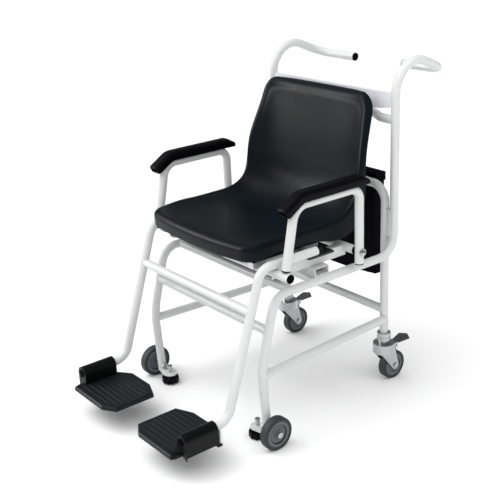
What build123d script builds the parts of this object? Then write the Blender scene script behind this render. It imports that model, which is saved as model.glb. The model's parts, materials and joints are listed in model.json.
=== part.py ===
from build123d import *
from math import atan2, copysign, cos, exp, pi, radians, sin, sqrt, tan
import os

# A chair scale: a wheeled tube frame, a seat frame standing on one load cell, a bucket seat,
# swing-up armrests, flip-up footplates, and a display behind the back.
# Millimetres. +Z is up, the sitter faces -Y, and +X is the sitter's left.
# The origin is on the floor, in the middle of the whole chair.

# Frame tube
side_x = 260
tube_od = 25
tube_wall = 2
running_gap = 0.05
free_gap = 0.3

# Side frames, as reaches forward or back of the rear leg plane and heights over the floor
handle_reach = 203
kink_reach = 508
foot_rake = 12
front_bend_reach = 454
foot_end_z = 36
kink_z = 230
rail_z = 430
handle_z = 1023
handle_low_z = 937
handle_length = 157
kink_radius = 260
front_bend_radius = 58
rear_bend_radius = 62
handle_radius = 83
handle_turn_radius = 56
tube_r = tube_od / 2
bore_r = tube_r - tube_wall

# Rear hoop and bars
hoop_x = 225
hoop_foot_z = 165
hoop_top_z = 628
hoop_radius = 50
low_bar_z = 335
rear_low_bar_z = 240
low_rail_z = 211
low_rail_toe = 6
top_bar_reach = 397
link_r = 8
link_low_z = 470
link_high_z = 560

# Front wheels
wheel_x = 297.7
wheel_r = 48
wheel_width = 27
wheel_hub_r = 38
wheel_web_r = 27
wheel_web_depth = 4
wheel_boss_r = 13
wheel_lip = 1.5
wheel_round = 5
axle_r = 5
axle_head_r = 8.5
axle_head_t = 6
axle_spacer_r = 9
axle_nut_r = 9
axle_nut_sides = 6
axle_nut_h = 7
axle_end = 2
wheel_side_gap = 0.5

# Casters
caster_r = 45
caster_width = 28
caster_trail = 35
caster_hub_r = 35
caster_web_r = 25
caster_boss_r = 12
socket_r = 20.5
socket_h = 24
socket_neck_r = 17
socket_base_z = 130
cup_r = 33
cup_h = 30
cup_wall = 3
fork_t = 3
fork_side_gap = 1.5
fork_boss_r = 13
caster_axle_r = 4
pedal_reach = 106
pedal_root_w = 22
pedal_tip_w = 44
pedal_t = 5
pedal_pin_r = 2.5
pedal_pin_y = 40
pedal_pin_drop = 18
pedal_barrel_r = 6
pedal_rise = 8
pedal_nose_l = 14
ear_t = 4
ear_over = 7
ear_h = 16
shoe_length = 21
shoe_t = 6
shoe_w = 18
shoe_angle = 11
kingpin_r = 6
kingpin_head_r = 9
kingpin_head_h = 4
spigot_l = 18
fork_top_half = 26
socket_groove_z = 150
socket_groove_w = 2
socket_groove_depth = 1
caster_web_depth = 5

# Levelling feet
foot_x = 217
foot_tab_t = 6
foot_tab_r = 21
foot_stem_r = 5
foot_knob_r = 26
foot_knob_h = 17
foot_lobes = 10
foot_lobe_r = 4
foot_clear = 4
foot_head_r = 8
foot_head_h = 6
foot_head_over = 22

# Seat frame
front_cross_reach = 445
front_cross_x = 314
rear_cross_reach = 175
rear_cross_x = 278
seat_rail_x = 227.5
seat_rail_w = 25
seat_rail_h = 30
seat_rail_wall = 2

# Load cell between the frames
beam_w = 50
beam_h = 25
beam_wall = 2.5
cell_reach = 285
cell_l = 150
cell_w = 40
cell_h = 25
cell_pad_h = 3
cell_pad_l = 42
cell_window_r = 8
bridge_w = 90
bridge_t = 6
cell_bolt_r = 4
cell_bolt_head_r = 6.5
cell_bolt_head_h = 5
cell_bolt_pitch = 25
cell_slot_l = 30
bridge_x = 262
bridge_bolt_pitch = 50
bridge_bolt_x = 231
bridge_z = rail_z + tube_r + beam_h + 2 * cell_pad_h + cell_h
seat_rail_z = bridge_z - seat_rail_h / 2
cross_z = bridge_z + bridge_t - tube_r

# Footrest tubes and footplates
footrest_x = 255.5
footrest_top_reach = 495
footrest_low_reach = 627
footrest_back_reach = 300
footrest_low_z = 117
footrest_top_radius = 42
footrest_low_radius = 52
footrest_bar_z = 404
stop_t = 4
stop_w = 20
stop_gap = 5
sleeve_back_inset = 37
sleeve_front_inset = 34.5
sleeve_wall = 8
sleeve_gap = 0.1
plate_top_z = 88
plate_t = 13
plate_back_gap = 9
plate_length = 174.5
plate_inner_x = 56
plate_inner_back_cut = 24
plate_corner_x = 112
plate_outer_cut = 50
plate_front_corner_x = 96
plate_inner_front_cut = 24.5
plate_outer_x = 250
stop_lug_l = 11
stop_lug_h = 9
lip_drop = 8
lip_t = 3
lip_w = 14
plate_edge_chamfer = 3
rib_count = 9
rib_w = 2.5
rib_h = 1.2
rib_inset = 14
skirt_low_z = 76
sleeve_rim_t = 3
sleeve_rim_r = 9
retainer_r = 11
retainer_t = 2.5

# Armrests
arm_x = 295
arm_front_top_reach = 408
arm_post_slant = 34
arm_top_z = 677
arm_rear_low_z = 458
arm_front_radius = 46
arm_rear_radius = 34
arm_plug_t = 3
arm_plug_l = 12
arm_pad_w = 41
arm_pad_low_z = 686
arm_pad_top_z = 714
arm_pad_back_reach = 150
arm_pad_bend_reach = 393
arm_pad_crank = 32
arm_pad_slope_len = 70
arm_pad_side_chamfer = 8
arm_pad_end_h = 12
arm_pad_end_slope = 27
pivot_r = 4
pivot_washer_r = 11
pivot_washer_t = 2.5
pivot_nut_r = 7
pivot_nut_h = 8

# Seat shell
seat_t = 5
seat_front_reach = 532
seat_front_z = 566
pan_length = 269
pan_fall = 7
waterfall_length = 70
waterfall_angle = 18
bend_radius = 112
bend_stretch_share = 1.5
back_length = 231
back_angle = 81.1
top_lean = 3
top_lean_length = 120
seat_front_half = 240
seat_mid_half = 243
seat_back_half = 256
seat_top_half = 226
seat_front_corner = 54
seat_top_corner = 52
front_bow = 12
front_bow_span = 120
corner_turn_share = 0.93
rim_r = 20
rim_skirt_front = 22
rim_skirt_back = 6
rim_skirt_deep = 38
rim_skirt_span = 110
rim_skirt_shift = 30
side_lift = 27
back_wrap = 53
across_points = 41
along_points = 61
profile_steps = 400
grid_step = 0.002
surface_tolerance = 0.5
corner_blend = 6
skirt_flare_share = 0.06
front_grow_share = 0.75
back_grow_share = 0.25
top_start_share = 0.1
lift_start_share = 0.15
lift_span_share = 0.35
lift_flat_share = 0.32
top_turn_share = 0.72
top_flat_share = 0.62
front_flat_share = 0.1
front_rise_share = 0.2

# Seat carriers and their fixings
carrier_x = 210
carrier_w = 24
carrier_h = 18
carrier_front_reach = 492
carrier_back_reach = 262
carrier_flute = 1.2
carrier_flutes = 5
spacer_r = 10
spacer_h = 13
boss_r = 12
seat_fix_front_reach = 468
seat_fix_back_reach = 352
seat_screw_r = 3
seat_screw_head_r = 6
seat_screw_head_h = 4
seat_insert_depth = 10

# Rear housing
housing_half = 170
housing_flare = 6
housing_top_z = 651
housing_low_z = 337
housing_sag = 10
housing_d = 40
housing_lid_t = 5
housing_wall = 3
housing_lip_h = 26
battery_w = 150
battery_h = 95
battery_d = 26
battery_low_z = 420
charge_r = 5.5
charge_ring_r = 9
charge_ring_t = 3
charge_inset = 40

# Display
panel_top_z = 900
panel_h = 48
panel_d = 14
panel_wall = 2
panel_taper_h = 10
panel_taper_l = 62
bow_z = 825
bow_straight = 205
bow_in = 125
bow_back = 45
bow_radius = 50
display_half = 95
display_front = 8
display_top_d = 22
display_low_d = 78
display_heel_z = 850
display_top_z = 888
display_wall = 2.5
cover_t = 3
window_w = 112
window_h = 30
window_t = 1.5
lcd_t = 3
board_t = 1.6
key_w = 26
key_h = 14
key_pitch = 36
key_over = 1.2
key_round = 2
key_stem = 3
key_gap = 0.2
key_flange = 1.5
key_flange_t = 1
screw_r = 1.5
screw_head_r = 3
screw_head_h = 2
screw_l = 9
post_r = 3.5
window_up = 11
keys_down = 20
board_drop = 9
board_w = 150
board_h = 48
cover_screw_x = 88
cover_screw_y = 27
screw_boss_r = 5
post_y = 18
lcd_lap = 4
key_travel = 0.8

# Tube ends
cap_rim_t = 2
cap_plug_l = 14
cap_gap = 0.05

# The footplates start in front of the tubes' low bends, and their front edges and the backs of
# the push handles are the ends of the whole chair
plate_back_reach = footrest_low_reach + plate_back_gap
plate_front_reach = plate_back_reach + plate_length
sleeve_back_reach = plate_back_reach + sleeve_back_inset
sleeve_front_reach = plate_front_reach - sleeve_front_inset
overall_depth = plate_front_reach + handle_reach + tube_r
rear_leg_y = overall_depth / 2 - tube_r - handle_reach


def at(reach):
    """Y of a place that lies this far forward of the rear leg plane."""
    return rear_leg_y - reach


def finish(part, label):
    """Name a finished piece and write it."""
    part.label = label
    export_step(part, "parts/" + label + ".step")
    return part


def run(points, radii):
    """Centre line through the points, rounded at each corner."""
    with BuildLine() as line:
        if radii:
            FilletPolyline(*points, radius=radii)
        else:
            Polyline(*points)
    return line.line


def tube(points, radii):
    """Bent round tube along the points, open at both ends."""
    path = run(points, radii)
    with BuildPart() as bent:
        with BuildSketch(Plane(path @ 0, z_dir=path % 0)):
            Circle(tube_r)
            Circle(bore_r, mode=Mode.SUBTRACT)
        sweep(path=path)
    return bent.part


def bar(points, radii):
    """The same tube without its bore, for cutting a seat."""
    path = run(points, radii)
    with BuildPart() as solid:
        with BuildSketch(Plane(path @ 0, z_dir=path % 0)):
            Circle(tube_r)
        sweep(path=path)
    return solid.part


def pin_x(x, y, z, radius, length):
    """Round bar that starts at a place and runs along +X, or along -X for a negative length."""
    with BuildPart() as pin:
        with BuildSketch(Plane((x, y, z), x_dir=(0, 1, 0), z_dir=(1, 0, 0))):
            Circle(radius)
        extrude(amount=length)
    return pin.part


def pin_z(x, y, z, radius, length):
    """Upright round bar that starts at a place."""
    with BuildPart() as pin:
        with BuildSketch(Plane((x, y, z))):
            Circle(radius)
        extrude(amount=length)
    return pin.part


def block(low, high):
    """Box between two corners."""
    with BuildPart() as box:
        with BuildSketch(Plane.XY.offset(low[2])):
            with Locations(((low[0] + high[0]) / 2, (low[1] + high[1]) / 2)):
                Rectangle(high[0] - low[0], high[1] - low[1])
        extrude(amount=high[2] - low[2])
    return box.part


def mirror_x(part):
    """The same piece on the other side of the chair."""
    with BuildPart() as other:
        add(part)
        mirror(about=Plane.YZ, mode=Mode.REPLACE)
    return other.part


def pair(part):
    """A piece and its mirror image in one node."""
    return Compound(children=[*part.solids(), *mirror_x(part).solids()])


os.makedirs("parts", exist_ok=True)
SIDES = ((1, "left"), (-1, "right"))

# Side frames: one tube each, from the front wheel up, back along the seat and up to the handle
foot_y = at(kink_reach - foot_rake)


def low_leg_y(height):
    """Y of the lower front leg's middle at a height."""
    share = (height - foot_end_z) / (kink_z - foot_end_z)
    return foot_y + (at(kink_reach) - foot_y) * share


def high_leg_y(height):
    """Y of the upper front leg's middle at a height."""
    share = (height - kink_z) / (rail_z - kink_z)
    return at(kink_reach) + (at(front_bend_reach) - at(kink_reach)) * share


axle_y = low_leg_y(wheel_r)
side_points = [
    (side_x, foot_y, foot_end_z),
    (side_x, at(kink_reach), kink_z),
    (side_x, at(front_bend_reach), rail_z),
    (side_x, rear_leg_y, rail_z),
    (side_x, rear_leg_y, handle_z),
    (side_x, rear_leg_y + handle_reach, handle_low_z),
    (side_x - handle_length, rear_leg_y + handle_reach, handle_low_z),
]
side_radii = [kink_radius, front_bend_radius, rear_bend_radius, handle_radius, handle_turn_radius]
with BuildPart() as side_frame:
    add(tube(side_points, side_radii))
    with BuildSketch(Plane.XY.offset(foot_end_z - foot_tab_t)):
        with Locations((foot_x, foot_y)):
            Circle(foot_tab_r)
        with Locations((side_x, foot_y)):
            Circle(tube_r)
        make_hull()
    extrude(amount=foot_tab_t)
    with Locations((foot_x, foot_y, foot_end_z)):
        Hole(foot_stem_r + running_gap)
    with BuildSketch(Plane((side_x - tube_od, axle_y, wheel_r), x_dir=(0, 1, 0), z_dir=(1, 0, 0))):
        Circle(axle_r)
    extrude(amount=2 * tube_od, mode=Mode.SUBTRACT)
finish(side_frame.part, "side_frame_left")
finish(mirror_x(side_frame.part), "side_frame_right")

# Rear hoop: an upside-down U whose legs end on the caster sockets
hoop_points = [
    (-hoop_x, rear_leg_y, hoop_foot_z),
    (-hoop_x, rear_leg_y, hoop_top_z),
    (hoop_x, rear_leg_y, hoop_top_z),
    (hoop_x, rear_leg_y, hoop_foot_z),
]
rear_hoop = finish(tube(hoop_points, [hoop_radius, hoop_radius]), "rear_hoop")


def fitted(points, *cutters):
    """Straight tube between two frame tubes, notched to fit round each of them."""
    with BuildPart() as rung:
        add(tube(points, []))
        for cutter in cutters:
            add(cutter, mode=Mode.SUBTRACT)
    return rung.part.solids().sort_by(SortBy.VOLUME)[-1]


side_bars = [bar(side_points, side_radii), mirror_x(bar(side_points, side_radii))]
hoop_bar = bar(hoop_points, [hoop_radius, hoop_radius])


def rung_x(half, y, z, *cutters):
    """Level tube across the chair, fitted to the tubes at its ends."""
    return fitted([(-half, y, z), (half, y, z)], *cutters)


# Short stubs tie the hoop's legs to the side frames' uprights
with BuildPart() as hoop_links:
    for side, name in SIDES:
        for height in (link_low_z, link_high_z):
            add(pin_x(side * hoop_x, rear_leg_y, height, link_r, side * (side_x - hoop_x)))
    add(hoop_bar, mode=Mode.SUBTRACT)
    for side_bar in side_bars:
        add(side_bar, mode=Mode.SUBTRACT)
links = [solid for solid in hoop_links.part.solids() if abs(solid.center().X) > hoop_x]

cross_bars = [
    rung_x(side_x, high_leg_y(low_bar_z), low_bar_z, *side_bars),
    rung_x(side_x, at(top_bar_reach), rail_z, *side_bars),
    rung_x(hoop_x, rear_leg_y, rear_low_bar_z, hoop_bar),
]
finish(Compound(children=[*cross_bars, *links]), "cross_bars")

low_rail_points = [
    (side_x, low_leg_y(low_rail_z), low_rail_z),
    (hoop_x + low_rail_toe, rear_leg_y, low_rail_z),
]
finish(pair(fitted(low_rail_points, side_bars[0], hoop_bar)), "lower_rails")


def ring_x(x, y, z, outer, inner, length):
    """Round bush along X with a hole through it."""
    with BuildPart() as bush:
        with BuildSketch(Plane((x, y, z), x_dir=(0, 1, 0), z_dir=(1, 0, 0))):
            Circle(outer)
            Circle(inner, mode=Mode.SUBTRACT)
        extrude(amount=length)
    return bush.part


def turned_x(points, x, y, z):
    """Solid turned about a line along X, from points given as radius and place along the line."""
    with BuildPart() as turned:
        with BuildSketch(Plane((x, y, z), x_dir=(0, 1, 0), z_dir=(0, 0, -1))):
            Polygon(*points, align=None)
        revolve(axis=Axis((x, y, z), (1, 0, 0)))
    return turned.part


def turned_z(points, x, y):
    """Solid turned about an upright line, from points given as radius and height."""
    with BuildPart() as turned:
        with BuildSketch(Plane((x, y, 0), x_dir=(1, 0, 0), z_dir=(0, -1, 0))):
            Polygon(*points, align=None)
        revolve(axis=Axis((x, y, 0), (0, 0, 1)))
    return turned.part


def wheel_parts(x, y, z, width, radius, hub_r, web_r, web_depth, boss_r, bore):
    """Tyre and hub of one wheel that turns about a line along X."""
    half = width / 2
    lip = half - wheel_lip
    web = half - web_depth
    hub_points = [
        (bore, -half),
        (boss_r, -half),
        (boss_r, -web),
        (web_r, -web),
        (web_r, -lip),
        (hub_r, -lip),
        (hub_r, lip),
        (web_r, lip),
        (web_r, web),
        (boss_r, web),
        (boss_r, half),
        (bore, half),
    ]
    hub = turned_x(hub_points, x, y, z)
    with BuildPart() as tyre:
        add(ring_x(x - half, y, z, radius, hub_r, width))
        rims = tyre.edges().filter_by(GeomType.CIRCLE).group_by(SortBy.RADIUS)[-1]
        fillet(rims, radius=wheel_round)
    return tyre.part, hub


# Front wheels on bolts through the feet of the side frames
wheel_inner_x = wheel_x - wheel_width / 2
wheel_outer_x = wheel_x + wheel_width / 2
tyre, hub = wheel_parts(
    wheel_x, axle_y, wheel_r, wheel_width, wheel_r, wheel_hub_r,
    wheel_web_r, wheel_web_depth, wheel_boss_r, axle_r + running_gap,
)
finish(tyre, "front_tyre_left")
finish(mirror_x(tyre), "front_tyre_right")
finish(hub, "front_hub_left")
finish(mirror_x(hub), "front_hub_right")

leg_inner_x = side_x - tube_r
bolt_points = [
    (0, leg_inner_x - axle_nut_h - axle_end),
    (axle_r, leg_inner_x - axle_nut_h - axle_end),
    (axle_r, wheel_outer_x + wheel_side_gap),
    (axle_head_r, wheel_outer_x + wheel_side_gap),
    (axle_head_r, wheel_outer_x + wheel_side_gap + axle_head_t),
    (0, wheel_outer_x + wheel_side_gap + axle_head_t),
]
finish(pair(turned_x(bolt_points, 0, axle_y, wheel_r)), "wheel_bolts")
with BuildPart() as spacer:
    add(ring_x(side_x, axle_y, wheel_r, axle_spacer_r, axle_r, wheel_inner_x - wheel_side_gap - side_x))
    add(side_bars[0], mode=Mode.SUBTRACT)
axle_spacer = spacer.part.solids().sort_by(Axis.X)[-1]
with BuildPart() as nut:
    with BuildSketch(Plane((leg_inner_x, axle_y, wheel_r), x_dir=(0, 1, 0), z_dir=(-1, 0, 0))):
        RegularPolygon(axle_nut_r, axle_nut_sides)
        Circle(axle_r, mode=Mode.SUBTRACT)
    extrude(amount=axle_nut_h)
finish(
    Compound(children=[*pair(axle_spacer).solids(), *pair(nut.part).solids()]),
    "wheel_spacers_and_nuts",
)

# Levelling feet: a lobed knob on a screw through the side frame's foot tab
foot_head_z = foot_end_z + foot_head_over
with BuildPart() as foot:
    with BuildSketch(Plane.XY.offset(foot_clear)):
        with Locations((foot_x, foot_y)):
            Circle(foot_knob_r)
            with PolarLocations(foot_knob_r, foot_lobes):
                Circle(foot_lobe_r, mode=Mode.SUBTRACT)
    extrude(amount=foot_knob_h)
    add(pin_z(foot_x, foot_y, foot_clear, foot_stem_r, foot_head_z - foot_clear))
    add(pin_z(foot_x, foot_y, foot_head_z - foot_head_h, foot_head_r, foot_head_h))
finish(foot.part, "levelling_foot_left")
finish(mirror_x(foot.part), "levelling_foot_right")

# Casters: a socket welded under each hoop leg, with a fork that swivels on its pin
cup_top_z = socket_base_z - free_gap
cup_low_z = cup_top_z - cup_h
pin_head_z = cup_top_z - cup_wall - free_gap
socket_points = [
    (0, hoop_foot_z + spigot_l),
    (bore_r, hoop_foot_z + spigot_l),
    (bore_r, hoop_foot_z),
    (socket_r, hoop_foot_z),
    (socket_r, socket_groove_z + socket_groove_w),
    (socket_r - socket_groove_depth, socket_groove_z + socket_groove_w),
    (socket_r - socket_groove_depth, socket_groove_z),
    (socket_r, socket_groove_z),
    (socket_r, hoop_foot_z - socket_h),
    (socket_neck_r, hoop_foot_z - socket_h),
    (socket_neck_r, socket_base_z),
    (kingpin_r, socket_base_z),
    (kingpin_r, pin_head_z),
    (kingpin_head_r, pin_head_z),
    (kingpin_head_r, pin_head_z - kingpin_head_h),
    (0, pin_head_z - kingpin_head_h),
]
finish(pair(turned_z(socket_points, hoop_x, rear_leg_y)), "caster_sockets")

caster_y = rear_leg_y + caster_trail
fork_inner = caster_width / 2 + fork_side_gap
fork_outer = fork_inner + fork_t
pedal_y = rear_leg_y + pedal_pin_y
pedal_z = socket_base_z - pedal_pin_drop
ear_inner = pedal_root_w / 2 + free_gap
with BuildPart() as fork:
    with BuildSketch(Plane.XY.offset(cup_low_z)):
        with Locations((hoop_x, rear_leg_y)):
            Circle(cup_r)
    extrude(amount=cup_h)
    with BuildSketch(Plane.XY.offset(cup_low_z)):
        with Locations((hoop_x, rear_leg_y)):
            Circle(cup_r - cup_wall)
    extrude(amount=cup_h - cup_wall, mode=Mode.SUBTRACT)
    for side, name in SIDES:
        with BuildSketch(Plane((hoop_x + side * fork_inner, 0, 0), x_dir=(0, 1, 0), z_dir=(1, 0, 0))):
            with Locations((rear_leg_y, cup_low_z + (cup_h - cup_wall) / 2)):
                Rectangle(2 * fork_top_half, cup_h - cup_wall)
            with Locations((caster_y, caster_r)):
                Circle(fork_boss_r)
            make_hull()
            with Locations((caster_y, caster_r)):
                Circle(caster_axle_r, mode=Mode.SUBTRACT)
        extrude(amount=side * fork_t)
        with BuildSketch(Plane((hoop_x + side * ear_inner, 0, 0), x_dir=(0, 1, 0), z_dir=(1, 0, 0))):
            with Locations(((rear_leg_y + cup_r + pedal_y) / 2, pedal_z)):
                Rectangle(pedal_y - rear_leg_y - cup_r + 2 * ear_over, ear_h)
            with Locations((pedal_y, pedal_z)):
                Circle(pedal_pin_r + running_gap, mode=Mode.SUBTRACT)
        extrude(amount=side * ear_t)
    with BuildSketch(Plane.XY.offset(cup_top_z)):
        with Locations((hoop_x, rear_leg_y)):
            Circle(kingpin_r + running_gap)
    extrude(amount=-cup_wall, mode=Mode.SUBTRACT)
finish(fork.part, "caster_fork_left")
finish(mirror_x(fork.part), "caster_fork_right")

axle_half = fork_outer + axle_head_t / 2
caster_axle_points = [
    (0, -axle_half),
    (axle_head_r, -axle_half),
    (axle_head_r, -fork_outer),
    (caster_axle_r, -fork_outer),
    (caster_axle_r, fork_outer),
    (axle_head_r, fork_outer),
    (axle_head_r, axle_half),
    (0, axle_half),
]
caster_axle = turned_x(caster_axle_points, hoop_x, caster_y, caster_r)
finish(caster_axle, "caster_axle_left")
finish(mirror_x(caster_axle), "caster_axle_right")
caster_tyre, caster_hub = wheel_parts(
    hoop_x, caster_y, caster_r, caster_width, caster_r, caster_hub_r,
    caster_web_r, caster_web_depth, caster_boss_r, caster_axle_r + running_gap,
)
finish(caster_tyre, "caster_tyre_left")
finish(mirror_x(caster_tyre), "caster_tyre_right")
finish(caster_hub, "caster_hub_left")
finish(mirror_x(caster_hub), "caster_hub_right")

# Brake pedals, each hinged on the fork's ears, with a shoe that comes down near the tyre
pedal_half = pedal_root_w / 2
pedal_tip_y = rear_leg_y + pedal_reach
with BuildPart() as pedal:
    add(pin_x(hoop_x - pedal_half, pedal_y, pedal_z, pedal_barrel_r, pedal_root_w))
    add(pin_x(hoop_x - ear_inner - ear_t, pedal_y, pedal_z, pedal_pin_r, 2 * (ear_inner + ear_t)))
    with BuildSketch(Plane((hoop_x, pedal_y, pedal_z), x_dir=(1, 0, 0),
                           z_dir=(0, -pedal_rise, pedal_reach - pedal_pin_y))):
        Polygon(
            (-pedal_half, 0),
            (-pedal_half, ear_over + free_gap),
            (-pedal_tip_w / 2, pedal_tip_y - pedal_y - pedal_nose_l),
            (0, pedal_tip_y - pedal_y),
            (pedal_tip_w / 2, pedal_tip_y - pedal_y - pedal_nose_l),
            (pedal_half, ear_over + free_gap),
            (pedal_half, 0),
            align=None,
        )
    extrude(amount=pedal_t)
    with BuildSketch(Plane((hoop_x - shoe_w / 2, pedal_y, pedal_z), x_dir=(0, 1, 0), z_dir=(1, 0, 0))):
        with Locations(Location((0, 0), shoe_angle)):
            with Locations((0, -shoe_length / 2)):
                Rectangle(shoe_t, shoe_length)
    extrude(amount=shoe_w)
finish(pedal.part, "caster_pedal_left")
finish(mirror_x(pedal.part), "caster_pedal_right")

# Seat frame: two cross tubes joined by box rails, above the side frames' rails
front_cross_y = at(front_cross_reach)
rear_cross_y = at(rear_cross_reach)
front_cross = bar([(-front_cross_x, front_cross_y, cross_z), (front_cross_x, front_cross_y, cross_z)], [])
rear_cross = bar([(-rear_cross_x, rear_cross_y, cross_z), (rear_cross_x, rear_cross_y, cross_z)], [])
cross_tubes = [
    rung_x(front_cross_x, front_cross_y, cross_z),
    rung_x(rear_cross_x, rear_cross_y, cross_z),
]
finish(Compound(children=cross_tubes), "seat_cross_tubes")

rail_low = seat_rail_z - seat_rail_h / 2
with BuildPart() as seat_rail:
    add(block(
        (seat_rail_x - seat_rail_w / 2, front_cross_y, rail_low),
        (seat_rail_x + seat_rail_w / 2, rear_cross_y, rail_low + seat_rail_h),
    ))
    add(block(
        (seat_rail_x - seat_rail_w / 2 + seat_rail_wall, front_cross_y, rail_low + seat_rail_wall),
        (seat_rail_x + seat_rail_w / 2 - seat_rail_wall, rear_cross_y,
         rail_low + seat_rail_h - seat_rail_wall),
    ), mode=Mode.SUBTRACT)
    add(front_cross, mode=Mode.SUBTRACT)
    add(rear_cross, mode=Mode.SUBTRACT)
finish(pair(seat_rail.part.solids().sort_by(SortBy.VOLUME)[-1]), "seat_frame_rails")

# Load cell: fixed end on a beam across the side frames, loaded end under the seat frame's bridge
cell_y = at(cell_reach)
beam_low = rail_z + tube_r
cell_low = beam_low + beam_h + cell_pad_h
cell_top = cell_low + cell_h
cell_end_x = cell_l / 2 - cell_pad_l / 2
with BuildPart() as beam:
    add(block((-bridge_x, cell_y - beam_w / 2, beam_low), (bridge_x, cell_y + beam_w / 2, beam_low + beam_h)))
    add(block(
        (-bridge_x, cell_y - beam_w / 2 + beam_wall, beam_low + beam_wall),
        (bridge_x, cell_y + beam_w / 2 - beam_wall, beam_low + beam_h - beam_wall),
    ), mode=Mode.SUBTRACT)
    for end in (-cell_bolt_pitch / 2, cell_bolt_pitch / 2):
        add(pin_z(end - cell_end_x, cell_y, beam_low, cell_bolt_r, beam_h), mode=Mode.SUBTRACT)
finish(beam.part, "load_cell_beam")

with BuildPart() as cell:
    add(block((-cell_l / 2, cell_y - cell_w / 2, cell_low), (cell_l / 2, cell_y + cell_w / 2, cell_top)))
    add(block(
        (-cell_l / 2, cell_y - cell_w / 2, cell_low - cell_pad_h),
        (-cell_l / 2 + cell_pad_l, cell_y + cell_w / 2, cell_low),
    ))
    add(block(
        (cell_l / 2 - cell_pad_l, cell_y - cell_w / 2, cell_top),
        (cell_l / 2, cell_y + cell_w / 2, cell_top + cell_pad_h),
    ))
    cell_side = (0, cell_y - cell_w / 2, cell_low + cell_h / 2)
    with BuildSketch(Plane(cell_side, x_dir=(1, 0, 0), z_dir=(0, 1, 0))):
        with Locations((-cell_slot_l / 2, 0), (cell_slot_l / 2, 0)):
            Circle(cell_window_r)
        Rectangle(cell_slot_l, cell_window_r)
    extrude(amount=cell_w, mode=Mode.SUBTRACT)
    for end in (-cell_bolt_pitch / 2, cell_bolt_pitch / 2):
        add(pin_z(end - cell_end_x, cell_y, cell_low - cell_pad_h, cell_bolt_r, cell_h), mode=Mode.SUBTRACT)
        add(pin_z(end + cell_end_x, cell_y, cell_top + cell_pad_h, cell_bolt_r, -cell_h), mode=Mode.SUBTRACT)
finish(cell.part, "load_cell")

with BuildPart() as bridge:
    add(block(
        (-bridge_x, cell_y - bridge_w / 2, bridge_z),
        (bridge_x, cell_y + bridge_w / 2, bridge_z + bridge_t),
    ))
    for end in (-cell_bolt_pitch / 2, cell_bolt_pitch / 2):
        add(pin_z(end + cell_end_x, cell_y, bridge_z, cell_bolt_r, bridge_t), mode=Mode.SUBTRACT)
    for side, name in SIDES:
        for end in (-bridge_bolt_pitch / 2, bridge_bolt_pitch / 2):
            add(pin_z(side * bridge_bolt_x, cell_y + end, bridge_z, cell_bolt_r, bridge_t),
                mode=Mode.SUBTRACT)
finish(bridge.part, "load_cell_bridge")


def cell_bolt(x, y, z, depth, way):
    """Bolt whose head rests on a face at this height, with its shank running the given way."""
    with BuildPart() as bolt:
        add(pin_z(x, y, z, cell_bolt_r, way * depth))
        add(pin_z(x, y, z, cell_bolt_head_r, -way * cell_bolt_head_h))
    return bolt.part


bolts = []
for end in (-cell_bolt_pitch / 2, cell_bolt_pitch / 2):
    bolts.append(cell_bolt(end - cell_end_x, cell_y, beam_low, beam_h + cell_h, 1))
    bolts.append(cell_bolt(end + cell_end_x, cell_y, bridge_z + bridge_t, bridge_t + cell_h, -1))
for side, name in SIDES:
    for end in (-bridge_bolt_pitch / 2, bridge_bolt_pitch / 2):
        bolts.append(cell_bolt(side * bridge_bolt_x, cell_y + end, bridge_z + bridge_t, bridge_t, -1))
finish(Compound(children=bolts), "load_cell_bolts")

# Footrest tubes, laid on the front cross tube and the bridge
footrest_top_z = cross_z + 2 * tube_r
footrest_points = [
    (footrest_x, at(footrest_back_reach), footrest_top_z),
    (footrest_x, at(footrest_top_reach), footrest_top_z),
    (footrest_x, at(footrest_low_reach), footrest_low_z),
    (footrest_x, at(sleeve_front_reach), footrest_low_z),
]
footrest_radii = [footrest_top_radius, footrest_low_radius]
plate_low_z = plate_top_z - plate_t
with BuildPart() as footrest:
    add(tube(footrest_points, footrest_radii))
    with BuildSketch(Plane((0, at(sleeve_back_reach - stop_gap), 0), x_dir=(1, 0, 0), z_dir=(0, -1, 0))):
        Polygon(
            (footrest_x, skirt_low_z + free_gap),
            (footrest_x + stop_w, skirt_low_z + free_gap),
            (footrest_x + stop_w, footrest_low_z),
            (footrest_x, footrest_low_z),
            align=None,
        )
        with Locations((footrest_x, footrest_low_z)):
            Circle(tube_r, mode=Mode.SUBTRACT)
    extrude(amount=-stop_t)
finish(pair(footrest.part), "footrest_tubes")
footrest_bars = [bar(footrest_points, footrest_radii), mirror_x(bar(footrest_points, footrest_radii))]
footrest_lean = (footrest_low_reach - footrest_top_reach) / (footrest_top_z - footrest_low_z)
footrest_bar_reach = footrest_top_reach + (footrest_top_z - footrest_bar_z) * footrest_lean
finish(rung_x(footrest_x, at(footrest_bar_reach), footrest_bar_z, *footrest_bars), "footrest_bar")

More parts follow.
